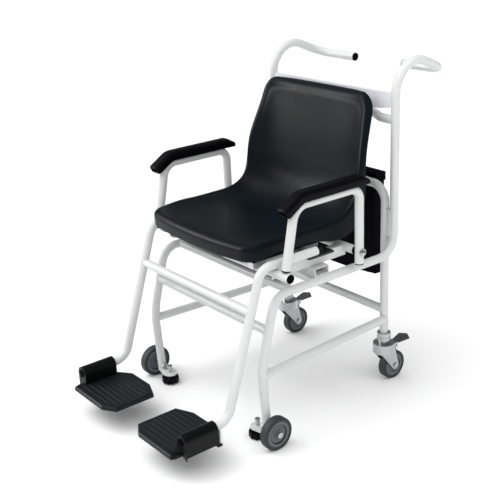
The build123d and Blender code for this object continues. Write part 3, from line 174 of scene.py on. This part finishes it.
class Shade:
    """A node material under construction."""

    def __init__(self, name, color, roughness, metallic=0.0):
        self.material = bpy.data.materials.new(name)
        self.material.use_nodes = True
        self.tree = self.material.node_tree
        self.shader = self.tree.nodes["Principled BSDF"]
        self.color = color
        self.shader.inputs["Base Color"].default_value = (*color, 1)
        self.shader.inputs["Roughness"].default_value = roughness
        self.shader.inputs["Metallic"].default_value = metallic
        self.place = self.tree.nodes.new("ShaderNodeTexCoord").outputs["Object"]
        self.normal = None

    def shine(self, level):
        """How strongly the surface reflects for its refraction."""
        self.shader.inputs["Specular IOR Level"].default_value = level

    def node(self, kind, **settings):
        """New node with its settings filled in."""
        made = self.tree.nodes.new(kind)
        for key, value in settings.items():
            setattr(made, key, value)
        return made

    def link(self, start, end):
        """Link from an output to an input."""
        self.tree.links.new(start, end)

    def noise(self, scale, detail=3.0, stretch=(1, 1, 1)):
        """Noise over the piece, scaled per metre."""
        spread = self.node("ShaderNodeMapping")
        spread.inputs["Scale"].default_value = stretch
        self.link(self.place, spread.inputs["Vector"])
        made = self.node("ShaderNodeTexNoise")
        made.inputs["Scale"].default_value = scale
        made.inputs["Detail"].default_value = detail
        self.link(spread.outputs["Vector"], made.inputs["Vector"])
        return made.outputs["Fac"]

    def mottle(self, scale, spread, detail=3.0):
        """Colour that drifts a little darker and lighter over the piece."""
        ramp = self.node("ShaderNodeValToRGB")
        darker, lighter = ramp.color_ramp.elements
        darker.position = 0.3
        lighter.position = 0.7
        darker.color = (*[c * (1 - spread) for c in self.color], 1)
        lighter.color = (*[min(1, c * (1 + spread)) for c in self.color], 1)
        self.link(self.noise(scale, detail), ramp.inputs["Fac"])
        self.link(ramp.outputs["Color"], self.shader.inputs["Base Color"])

    def beyond(self, axis, limit, near, far):
        """A second colour where the distance along an axis passes a limit."""
        split = self.node("ShaderNodeSeparateXYZ")
        distance = self.node("ShaderNodeMath", operation="ABSOLUTE")
        passed = self.node("ShaderNodeMath", operation="GREATER_THAN")
        passed.inputs[1].default_value = limit
        mix = self.node("ShaderNodeMix", data_type="RGBA")
        mix.inputs["A"].default_value = (*near, 1)
        mix.inputs["B"].default_value = (*far, 1)
        self.link(self.place, split.inputs["Vector"])
        self.link(split.outputs[axis], distance.inputs[0])
        self.link(distance.outputs["Value"], passed.inputs[0])
        self.link(passed.outputs["Value"], mix.inputs["Factor"])
        self.link(mix.outputs["Result"], self.shader.inputs["Base Color"])
        return passed.outputs["Value"]

    def gloss(self, scale, low, high):
        """Roughness that drifts between two values."""
        span = self.node("ShaderNodeMapRange")
        span.inputs["To Min"].default_value = low
        span.inputs["To Max"].default_value = high
        self.link(self.noise(scale, detail=2.0), span.inputs["Value"])
        self.link(span.outputs["Result"], self.shader.inputs["Roughness"])

    def bump(self, height, strength, depth):
        """Relief from a height output, in metres of depth."""
        made = self.node("ShaderNodeBump")
        made.inputs["Strength"].default_value = strength
        made.inputs["Distance"].default_value = depth
        self.link(height, made.inputs["Height"])
        if self.normal:
            self.link(self.normal, made.inputs["Normal"])
        self.normal = made.outputs["Normal"]
        self.link(self.normal, self.shader.inputs["Normal"])

    def soft_edges(self, radius):
        """Edges that catch light as if they were rounded."""
        made = self.node("ShaderNodeBevel", samples=EDGE_SAMPLES)
        made.inputs["Radius"].default_value = radius
        self.normal = made.outputs["Normal"]
        self.link(self.normal, self.shader.inputs["Normal"])


def powder_coat(name, color, roughness=0.32):
    """Powder coat: satin, with the faint orange peel of baked powder."""
    shade = Shade(name, color, roughness)
    shade.mottle(scale=9, spread=0.015)
    shade.gloss(scale=30, low=roughness - 0.04, high=roughness + 0.06)
    shade.soft_edges(0.8 * MM)
    shade.bump(shade.noise(900, detail=1.0), strength=0.12, depth=0.3 * MM)
    shade.shine(0.35)
    return shade.material


def moulded_plastic(name, color, roughness, grain=1400, depth=0.2 * MM, level=0.3):
    """Moulded plastic with a fine spark-eroded grain."""
    shade = Shade(name, color, roughness)
    shade.mottle(scale=14, spread=0.12)
    shade.gloss(scale=40, low=roughness - 0.05, high=roughness + 0.07)
    shade.shine(level)
    shade.soft_edges(1 * MM)
    shade.bump(shade.noise(grain, detail=2.0), strength=0.35, depth=depth)
    return shade.material


def plated_steel(name, color, roughness):
    """Zinc or chrome plated steel with faint rolling marks."""
    shade = Shade(name, color, roughness, METAL)
    shade.mottle(scale=60, spread=0.06)
    shade.gloss(scale=90, low=roughness - 0.05, high=roughness + 0.1)
    shade.soft_edges(0.7 * MM)
    shade.bump(shade.noise(500, detail=2.0, stretch=(1, 1, 6)), strength=0.08, depth=0.2 * MM)
    return shade.material


def screwed_plastic(name, color, screw, height):
    """Plastic up to a height, and a plated screw above it."""
    shade = Shade(name, color, roughness=0.38)
    shade.shine(0.1)
    above = shade.beyond("Z", height, color, screw)
    shade.link(above, shade.shader.inputs["Metallic"])
    shade.soft_edges(1 * MM)
    shade.bump(shade.noise(600, detail=2.0), strength=0.15, depth=0.2 * MM)
    return shade.material


def footplate_plastic(name, plate, sleeve, sleeve_x):
    """Black plastic whose sleeve, further from the middle, gets painted shade: a deeper black than the
    plate.
    """
    shade = Shade(name, plate, roughness=0.44)
    shade.shine(0.17)
    # Past sleeve_x the sleeve gets the painted shade colour instead of the plate's colour.
    shade.beyond("X", sleeve_x, plate, sleeve)
    shade.soft_edges(2 * MM)
    shade.bump(shade.noise(1400, detail=2.0), strength=0.3, depth=0.2 * MM)
    return shade.material


def ringed_hub(name, color, middle):
    """Moulded wheel hub, centred on the axle, whose disc is a little darker and whose groove round the
    disc gets painted shade as a dark ring.
    """
    shade = Shade(name, color, roughness=0.45)
    shade.shine(0.2)
    offset = shade.node("ShaderNodeVectorMath", operation="SUBTRACT")
    offset.inputs[1].default_value = (0, middle.y, middle.z)
    flat = shade.node("ShaderNodeVectorMath", operation="MULTIPLY")
    flat.inputs[1].default_value = (0, 1, 1)
    reach = shade.node("ShaderNodeVectorMath", operation="LENGTH")
    share = shade.node("ShaderNodeMath", operation="DIVIDE")
    share.inputs[1].default_value = HUB_RAMP
    ring = shade.node("ShaderNodeValToRGB")
    stops = ring.color_ramp.elements
    stops[0].color = (*[c * HUB_DISC_SHADE for c in color], 1)
    stops[1].color = (*color, 1)
    # The disc is a little darker, and the ring between the groove's radii is painted shade.
    tones = (HUB_DISC_SHADE, HUB_GROOVE_PAINTED_SHADE, HUB_GROOVE_PAINTED_SHADE, 1)
    for radius, tone in zip(HUB_GROOVE, tones):
        stops.new(radius / HUB_RAMP).color = (*[c * tone for c in color], 1)
    shade.link(shade.place, offset.inputs[0])
    shade.link(offset.outputs["Vector"], flat.inputs[0])
    shade.link(flat.outputs["Vector"], reach.inputs[0])
    shade.link(reach.outputs["Value"], share.inputs[0])
    shade.link(share.outputs["Value"], ring.inputs["Fac"])
    shade.link(ring.outputs["Color"], shade.shader.inputs["Base Color"])
    shade.soft_edges(1 * MM)
    shade.bump(shade.noise(1400, detail=2.0), strength=0.3, depth=0.2 * MM)
    return shade.material


def brushed_metal(name, color, roughness):
    """Milled or extruded aluminium with lines along it."""
    shade = Shade(name, color, roughness, METAL)
    shade.mottle(scale=40, spread=0.05)
    shade.soft_edges(0.6 * MM)
    shade.bump(shade.noise(160, stretch=(12, 1, 12)), strength=0.15, depth=0.2 * MM)
    return shade.material


def rubber(name, color, roughness=0.62):
    """Moulded rubber, dusty and matte."""
    shade = Shade(name, color, roughness)
    shade.mottle(scale=25, spread=0.15, detail=4.0)
    shade.gloss(scale=50, low=roughness - 0.06, high=roughness + 0.1)
    shade.bump(shade.noise(700), strength=0.2, depth=0.2 * MM)
    return shade.material


def clear_sheet(name, color):
    """Thin clear acrylic over the display."""
    shade = Shade(name, color, roughness=0.06)
    shade.shader.inputs["Transmission Weight"].default_value = 0.92
    shade.shader.inputs["IOR"].default_value = 1.49
    shade.bump(shade.noise(40, detail=1.0), strength=0.02, depth=0.1 * MM)
    return shade.material


def make_materials():
    """One material for each slot of the record."""
    return {
        "frame_white": powder_coat("frame_white", (0.625, 0.632, 0.628)),
        "black_plastic": moulded_plastic("black_plastic", BLACK, 0.65, level=0.03),
        "zinc_steel": plated_steel("zinc_steel", ZINC, 0.28),
        "seat_black": moulded_plastic(
            "seat_black", (0.003, 0.0055, 0.008), 0.34, grain=2200, depth=0.3 * MM, level=0.1
        ),
        "grey_rail": brushed_metal("grey_rail", (0.55, 0.56, 0.58), 0.35),
        "cell_aluminium": brushed_metal("cell_aluminium", (0.68, 0.69, 0.70), 0.3),
        "black_steel": powder_coat("black_steel", (0.012, 0.012, 0.014), 0.4),
        "panel_grey": powder_coat("panel_grey", (0.74, 0.735, 0.785), 0.4),
        "clear_window": clear_sheet("clear_window", (0.75, 0.78, 0.78)),
        "lcd_glass": moulded_plastic("lcd_glass", (0.26, 0.31, 0.24), 0.15),
        "circuit_board": moulded_plastic("circuit_board", (0.02, 0.13, 0.05), 0.4),
        "battery_case": moulded_plastic("battery_case", (0.05, 0.055, 0.08), 0.45),
        "pad_black": moulded_plastic(
            "pad_black", (0.0018, 0.0018, 0.0024), 0.42, grain=1500, depth=0.3 * MM, level=0.08
        ),
        "footplate_black": footplate_plastic("footplate_black", PLATE_BLACK, SLEEVE_PAINTED_SHADE, SLEEVE_INNER_X),
        "grey_tyre": rubber("grey_tyre", (0.02, 0.023, 0.026)),
        "grey_hub": moulded_plastic("grey_hub", HUB_GREY, 0.45, level=0.2),
        "pedal_grey": moulded_plastic("pedal_grey", (0.055, 0.056, 0.06), 0.42),
        "key_grey": moulded_plastic("key_grey", (0.16, 0.17, 0.19), 0.45),
    }


def node_material(name, slot_name, materials):
    """The slot's material, or one of the node's own for a levelling foot or a front hub."""
    if name.startswith("levelling_foot"):
        return screwed_plastic(name, BLACK, ZINC, FOOT_KNOB_TOP)
    if name.startswith("front_hub"):
        low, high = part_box(name)
        return ringed_hub(name, HUB_GREY, (low + high) / 2)
    return materials[slot_name]


def paint_nodes(materials):
    """Each CAD node gets its material."""
    slots = {entry["node"]: entry["material_slot"] for entry in frame["record"]["subparts"]}
    for name, node in frame["nodes"].items():
        material = node_material(name, slots[name], materials)
        if not node.data.materials:
            node.data.materials.append(material)
        for slot in node.material_slots:
            slot.material = material


def make_floor():
    """Plain pale floor that runs out of sight."""
    shade = Shade("floor", FLOOR_COLOR, roughness=0.85)
    shade.mottle(scale=0.6, spread=0.004)
    bpy.ops.mesh.primitive_plane_add(size=FLOOR_SIZE, location=(0, 0, 0))
    floor = bpy.context.active_object
    floor.name = "floor"
    floor.data.materials.append(shade.material)


# Mesh helpers
def mesh_piece(name, points, faces, materials, slot_name, body):
    """New smooth mesh object with a slot's material, riding on a body."""
    mesh = bpy.data.meshes.new(name)
    mesh.from_pydata([tuple(point) for point in points], [], faces)
    mesh.validate()
    mesh.shade_smooth()
    piece = bpy.data.objects.new(name, mesh)
    bpy.context.scene.collection.objects.link(piece)
    mesh.materials.append(materials[slot_name])
    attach(piece, body)
    return piece


def grid_faces(rows, columns, tube=False, ring=False):
    """Quads of a grid of points, wrapped round its columns as a tube, and its rows too as a ring."""
    faces = []
    for row in range(rows if ring else rows - 1):
        here = row * columns
        ahead = (row + 1) % rows * columns
        for column in range(columns if tube else columns - 1):
            after = (column + 1) % columns
            faces.append((here + column, here + after, ahead + after, ahead + column))
    return faces


def apply_modifiers(piece):
    """Bake a piece's modifiers into its mesh."""
    graph = bpy.context.evaluated_depsgraph_get()
    baked = bpy.data.meshes.new_from_object(piece.evaluated_get(graph))
    piece.modifiers.clear()
    piece.data = baked


def ease(share):
    """Smooth step from 0 to 1."""
    share = min(1, max(0, share))
    return share * share * (3 - 2 * share)


# Seat shell: the form of the CAD shell, drawn finer, with a raised centre panel
SEAT_START_Y = -234.5 * MM
SEAT_FRONT_Z = 566 * MM
PAN_LENGTH = 269 * MM
PAN_FALL = 7
WATERFALL_LENGTH = 70 * MM
WATERFALL_ANGLE = 18
BEND_RADIUS = 112 * MM
BEND_STRETCH = 1.5
BACK_LENGTH = 231 * MM
BACK_ANGLE = 81.1
TOP_LEAN = 3
TOP_LEAN_LENGTH = 120 * MM
FRONT_HALF = 240 * MM
MIDDLE_HALF = 243 * MM
BACK_HALF = 256 * MM
TOP_HALF = 226 * MM
WIDENING_SHARE = 0.75
BACK_WIDENING = 0.25
TOP_NARROWING = 0.1
FRONT_CORNER = 54 * MM
TOP_CORNER = 52 * MM
CORNER_TURN = 0.97
FRONT_BOW = 12 * MM
FRONT_BOW_SPAN = 120 * MM
RIM = 20 * MM
RIM_BLEND = 6
SKIRT_FRONT = 22 * MM
SKIRT_BACK = 6 * MM
SKIRT_DEEP = 38 * MM
SKIRT_SPAN = 110 * MM
SKIRT_SHIFT = 30 * MM
SKIRT_FLARE = 0.06
SIDE_LIFT = 27 * MM
BACK_WRAP = 53 * MM
WRAP_START = 0.15
WRAP_SPAN = 0.35
TOP_FLATTENING = 0.62
TOP_FLAT_START = 0.72
FRONT_LIFT = 0.1
FRONT_LIFT_SPAN = 0.2
LIFT_BOWL = 0.32
SHELL_THICKNESS = 5 * MM
LIP_SHARE = 0.35
LIP_ANGLE = 50
PANEL_RISE = 1.6 * MM
PANEL_BORDER = 21 * MM
PANEL_STEP = 12 * MM
PANEL_BLEND = 2
PANEL_START = 0.1
PANEL_FADE = 0.25
PROFILE_STEPS = 400
SEAT_ROWS = 150
SEAT_COLUMNS = 111


def seat_profile():
    """Middle line of the seat from front lip to top of back, its length and the middle of its bend."""
    flat = -radians(PAN_FALL)
    steep = radians(BACK_ANGLE)
    turn_length = BEND_RADIUS * (steep - flat) * BEND_STRETCH
    length = PAN_LENGTH + turn_length + BACK_LENGTH
    step = length / PROFILE_STEPS
    y = SEAT_START_Y
    z = SEAT_FRONT_Z
    table = []
    for index in range(PROFILE_STEPS + 1):
        place = index * step
        angle = flat + (steep - flat) * ease((place - PAN_LENGTH) / turn_length)
        fall = max(0, 1 - place / WATERFALL_LENGTH)
        angle += radians(WATERFALL_ANGLE) * fall * fall
        top = max(0, (place - length + TOP_LEAN_LENGTH) / TOP_LEAN_LENGTH)
        angle += radians(TOP_LEAN) * top * top
        table.append((y, z, angle))
        y += cos(angle) * step
        z += sin(angle) * step
    return table, length, PAN_LENGTH + turn_length / 2


SEAT_LINE, SEAT_LENGTH, SEAT_MIDDLE = seat_profile()


def seat_half(place):
    """Half width of the seat at a place along its middle line."""
    share = place / SEAT_LENGTH
    middle = SEAT_MIDDLE / SEAT_LENGTH
    if share < middle:
        widening = min(1, share / (middle * WIDENING_SHARE))
        half = FRONT_HALF + (MIDDLE_HALF - FRONT_HALF) * sin(widening * pi / 2)
    else:
        narrowing = (share - middle - TOP_NARROWING) / (1 - middle - TOP_NARROWING)
        half = MIDDLE_HALF + (BACK_HALF - MIDDLE_HALF) * ease((share - middle) / BACK_WIDENING)
        half += (TOP_HALF - BACK_HALF) * ease(narrowing)
    for left, corner in ((place, FRONT_CORNER), (SEAT_LENGTH - place, TOP_CORNER)):
        if left < corner:
            turn = (corner - left) / corner * CORNER_TURN
            half -= corner * (1 - sqrt(1 - turn * turn))
    return half


def seat_lift(place):
    """How far the seat's sides rise over its middle line."""
    share = place / SEAT_LENGTH
    back = ease((share - WRAP_START) / WRAP_SPAN)
    lift = SIDE_LIFT * (1 - back) + BACK_WRAP * back
    lift *= 1 - TOP_FLATTENING * ease((share - TOP_FLAT_START) / (1 - TOP_FLAT_START))
    return lift * (FRONT_LIFT + (1 - FRONT_LIFT) * ease(share / FRONT_LIFT_SPAN))


def panel_rise(place, from_side):
    """Height of the seat's raised inner panel, which ends in a soft step along the sides and the top."""
    from_side = max(MM, from_side)
    from_top = max(MM, SEAT_LENGTH - place)
    inside = (from_side ** -PANEL_BLEND + from_top ** -PANEL_BLEND) ** (-1 / PANEL_BLEND)
    fade = ease((place / SEAT_LENGTH - PANEL_START) / PANEL_FADE)
    return PANEL_RISE * fade * ease((inside - PANEL_BORDER) / PANEL_STEP)


def rolled(distance, straight):
    """Place across the sheet and turn of the rim after this distance from the middle."""
    if distance <= straight:
        return distance, 0
    turn = (distance - straight) / RIM
    skirt = max(0, turn - pi / 2) * RIM
    return straight + RIM * sin(min(turn, pi / 2)) + skirt * SKIRT_FLARE, turn


def seat_point(across, along):
    """Point of the seat's upper side, from shares across (-1 to 1) and along (0 to 1)."""
    middle = SEAT_LENGTH / 2
    end_skirt = SKIRT_BACK if along > 0.5 else SKIRT_FRONT
    from_middle = (2 * along - 1) * (middle - RIM + RIM * pi / 2 + end_skirt)
    inward, end_turn = rolled(abs(from_middle), middle - RIM)
    place = middle + copysign(min(inward, middle), from_middle)
    beyond = copysign(max(0, inward - middle), from_middle)
    half = seat_half(place)
    skirt = SKIRT_FRONT + (SKIRT_BACK - SKIRT_FRONT) * ease(place / SEAT_LENGTH)
    skirt += SKIRT_DEEP * exp(-((place - SEAT_MIDDLE + SKIRT_SHIFT) / SKIRT_SPAN) ** 2)
    x, side_turn = rolled(abs(across) * (half - RIM + RIM * pi / 2 + skirt), half - RIM)
    turn = (side_turn ** RIM_BLEND + end_turn ** RIM_BLEND) ** (1 / RIM_BLEND)
    share = x / half
    lift = seat_lift(place) * (LIFT_BOWL * share ** 2 + (1 - LIFT_BOWL) * share ** 5)
    lift += panel_rise(place, half - x)
    lift -= RIM * (1 - cos(min(turn, pi / 2))) + max(0, turn - pi / 2) * RIM
    steps = place / SEAT_LENGTH * PROFILE_STEPS
    index = min(PROFILE_STEPS - 1, int(steps))
    near, far = SEAT_LINE[index], SEAT_LINE[index + 1]
    y, z, angle = (start + (end - start) * (steps - index) for start, end in zip(near, far))
    y += cos(angle) * beyond + FRONT_BOW * share ** 2 * (1 - ease(place / FRONT_BOW_SPAN))
    z += sin(angle) * beyond
    return Vector((copysign(x, across), y - sin(angle) * lift, z + cos(angle) * lift))


def make_seat(materials):
    """The bucket seat, as one moulded shell with a rounded lip."""
    points = []
    for row in range(SEAT_ROWS):
        for column in range(SEAT_COLUMNS):
            points.append(seat_point(2 * column / (SEAT_COLUMNS - 1) - 1, row / (SEAT_ROWS - 1)))
    faces = grid_faces(SEAT_ROWS, SEAT_COLUMNS)
    seat = mesh_piece("seat_shell_skin", points, faces, materials, "seat_black", ROOT)
    wall = seat.modifiers.new("wall", "SOLIDIFY")
    wall.thickness = SHELL_THICKNESS
    wall.offset = -1
    wall.use_even_offset = True
    lip = seat.modifiers.new("lip", "BEVEL")
    lip.width = SHELL_THICKNESS * LIP_SHARE
    lip.segments = 3
    lip.limit_method = "ANGLE"
    lip.angle_limit = radians(LIP_ANGLE)
    apply_modifiers(seat)
    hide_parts("seat_shell")


# Armrest pads: moulded foam with a flat top, sloped shoulders, a cranked front and a sloped back end
PAD_HALF_WIDTH = 20.4 * MM
PAD_HALF_HEIGHT = 13.9 * MM
PAD_SLOPE_LENGTH = 66 * MM
PAD_CRANK = radians(32)
PAD_CRANK_RADIUS = 38 * MM
PAD_END_ROUND = 5 * MM
PAD_END_HEIGHT = 12 * MM
PAD_END_SLOPE = 27 * MM
PAD_SHOULDER_HEIGHT = 6 * MM
PAD_SHOULDER_WIDTH = 7.5 * MM
PAD_CORNER_ROUND = 4 * MM
PAD_CORNER_STEPS = 6
PAD_CORNERS = 6
PAD_RING = PAD_CORNERS * (PAD_CORNER_STEPS + 1)
PAD_END_STEPS = 6
PAD_LENGTH_STEPS = 60
PAD_CLEARANCE = 0.1 * MM
PAD_BEND_REACH = 393 * MM
PAD_BACK_REACH = 150 * MM
PAD_FIRST = PAD_BEND_REACH - PAD_BACK_REACH - PAD_CRANK_RADIUS * tan(PAD_CRANK / 2)
PAD_ARC = PAD_CRANK_RADIUS * PAD_CRANK
PAD_LENGTH = PAD_FIRST + PAD_ARC + PAD_SLOPE_LENGTH - PAD_CRANK_RADIUS * tan(PAD_CRANK / 2)


def pad_ring(inset, drop):
    """Points of the pad's section, as offsets across and up: a flat top with sloped shoulders."""
    wide = PAD_HALF_WIDTH - inset
    low = inset - PAD_HALF_HEIGHT
    top = PAD_HALF_HEIGHT - inset - drop
    shoulder = min(PAD_SHOULDER_HEIGHT, top) - PAD_SHOULDER_WIDTH * drop / (4 * PAD_HALF_HEIGHT)
    corners = [
        (-wide, low),
        (wide, low),
        (wide, shoulder),
        (wide - PAD_SHOULDER_WIDTH, top),
        (PAD_SHOULDER_WIDTH - wide, top),
        (-wide, shoulder),
    ]
    ring = []
    for index, corner in enumerate(corners):
        corner = Vector(corner)
        before = Vector(corners[index - 1]) - corner
        after = Vector(corners[(index + 1) % PAD_CORNERS]) - corner
        start = corner + before.normalized() * PAD_CORNER_ROUND
        end = corner + after.normalized() * PAD_CORNER_ROUND
        for step in range(PAD_CORNER_STEPS + 1):
            share = step / PAD_CORNER_STEPS
            pull = corner * 2 * share * (1 - share)
            ring.append(tuple(start * (1 - share) ** 2 + pull + end * share ** 2))
    return ring


def pad_stations():
    """Distances from the pad's back end, close together at its rounded ends."""
    close = [PAD_END_ROUND * (1 - cos(pi / 2 * step / PAD_END_STEPS)) for step in range(PAD_END_STEPS)]
    between = PAD_LENGTH - 2 * PAD_END_ROUND
    even = [PAD_END_ROUND + between * step / PAD_LENGTH_STEPS for step in range(PAD_LENGTH_STEPS + 1)]
    return close + even + [PAD_LENGTH - place for place in reversed(close)]


def pad_line(place):
    """Offset and turn of the pad's middle line at a distance from its back end."""
    if place < PAD_FIRST:
        return Vector((0, -place, 0)), 0
    turn = min(PAD_CRANK, (place - PAD_FIRST) / PAD_CRANK_RADIUS)
    over = max(0, place - PAD_FIRST - PAD_ARC)
    y = -PAD_FIRST - PAD_CRANK_RADIUS * sin(turn) - over * cos(turn)
    z = -PAD_CRANK_RADIUS * (1 - cos(turn)) - over * sin(turn)
    return Vector((0, y, z)), turn


def make_pad(name, materials):
    """One armrest pad, swept along its cranked middle line with rounded ends."""
    low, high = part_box(f"armrest_pad_{name}")
    middle_z = high.z - PAD_HALF_HEIGHT - PAD_CLEARANCE
    back = Vector(((low.x + high.x) / 2, REAR_LEG_Y - PAD_BACK_REACH, middle_z))
    stations = pad_stations()
    points = []
    for place in stations:
        offset, turn = pad_line(place)
        inset = 0
        from_end = min(place, PAD_LENGTH - place)
        if from_end < PAD_END_ROUND:
            inset = PAD_END_ROUND - sqrt(PAD_END_ROUND ** 2 - (PAD_END_ROUND - from_end) ** 2)
        up = Vector((0, -sin(turn), cos(turn)))
        slope = max(0, 1 - place / PAD_END_SLOPE)
        for x, z in pad_ring(inset, (2 * PAD_HALF_HEIGHT - PAD_END_HEIGHT) * slope):
            points.append(back + offset + Vector((x, 0, 0)) + up * z)
    faces = grid_faces(len(stations), PAD_RING, tube=True)
    last = (len(stations) - 1) * PAD_RING
    faces.append(tuple(range(PAD_RING)))
    faces.append(tuple(last + index for index in reversed(range(PAD_RING))))
    pad = mesh_piece(f"armrest_pad_{name}_foam", points, faces, materials, "pad_black", f"armrest_{name}")
    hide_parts(f"armrest_pad_{name}")


# Weld beads where the frame's tubes meet
TUBE = 12.5 * MM
BEAD = 1.7 * MM
BEAD_RIPPLE = 0.25 * MM
BEAD_STEPS = 72
BEAD_SIDES = 8
BEADS_PER_RIPPLE = 3
BEAD_BACK = 0.4
BEAD_STANDOFF = 1.02
# Each bar's half length, its distance before the rear leg, its height, and the way of its posts
WELDED_BARS = (
    ("low_front", 260 * MM, 479.65 * MM, 335 * MM, (0, 54, 200)),
    ("top_front", 260 * MM, 397 * MM, 430 * MM, (0, 1, 0)),
    ("low_rear", 225 * MM, 0, 240 * MM, (0, 0, 1)),
    ("footrest", 255.5 * MM, 532.1 * MM, 404 * MM, (0, 132, 400)),
)


def weld_bead(name, place, rung, post, materials):
    """Rippled bead round the end of a rung that meets a post of the same size, both through a place."""
    post = Vector(post).normalized()
    across = rung.cross(post)
    line = []
    for step in range(BEAD_STEPS):
        turn = 2 * pi * step / BEAD_STEPS
        saddle = TUBE * abs(cos(turn)) + BEAD * BEAD_BACK
        around = (post * cos(turn) + across * sin(turn)) * TUBE * BEAD_STANDOFF
        line.append(place + rung * saddle + around)
    points = []
    for step, spot in enumerate(line):
        ahead = (line[(step + 1) % BEAD_STEPS] - line[step - 1]).normalized()
        out = (spot - place).normalized()
        side = ahead.cross(out).normalized()
        radius = BEAD + BEAD_RIPPLE * sin(step * 2 * pi / BEADS_PER_RIPPLE)
        for corner in range(BEAD_SIDES):
            angle = 2 * pi * corner / BEAD_SIDES
            points.append(spot + out * cos(angle) * radius + side * sin(angle) * radius)
    faces = grid_faces(BEAD_STEPS, BEAD_SIDES, tube=True, ring=True)
    mesh_piece(name, points, faces, materials, "frame_white", ROOT)


def make_welds(materials):
    """Beads at both ends of every bar across the chair."""
    for label, half, reach, z, post in WELDED_BARS:
        for side, name in SIDES:
            place = Vector((side * half, REAR_LEG_Y - reach, z))
            weld_bead(f"weld_{label}_{name}", place, Vector((-side, 0, 0)), post, materials)


make_camera()
make_lights()
materials = make_materials()
paint_nodes(materials)
make_seat(materials)
for _, name in SIDES:
    make_pad(name, materials)
make_welds(materials)
make_floor()

bpy.context.view_layer.update()
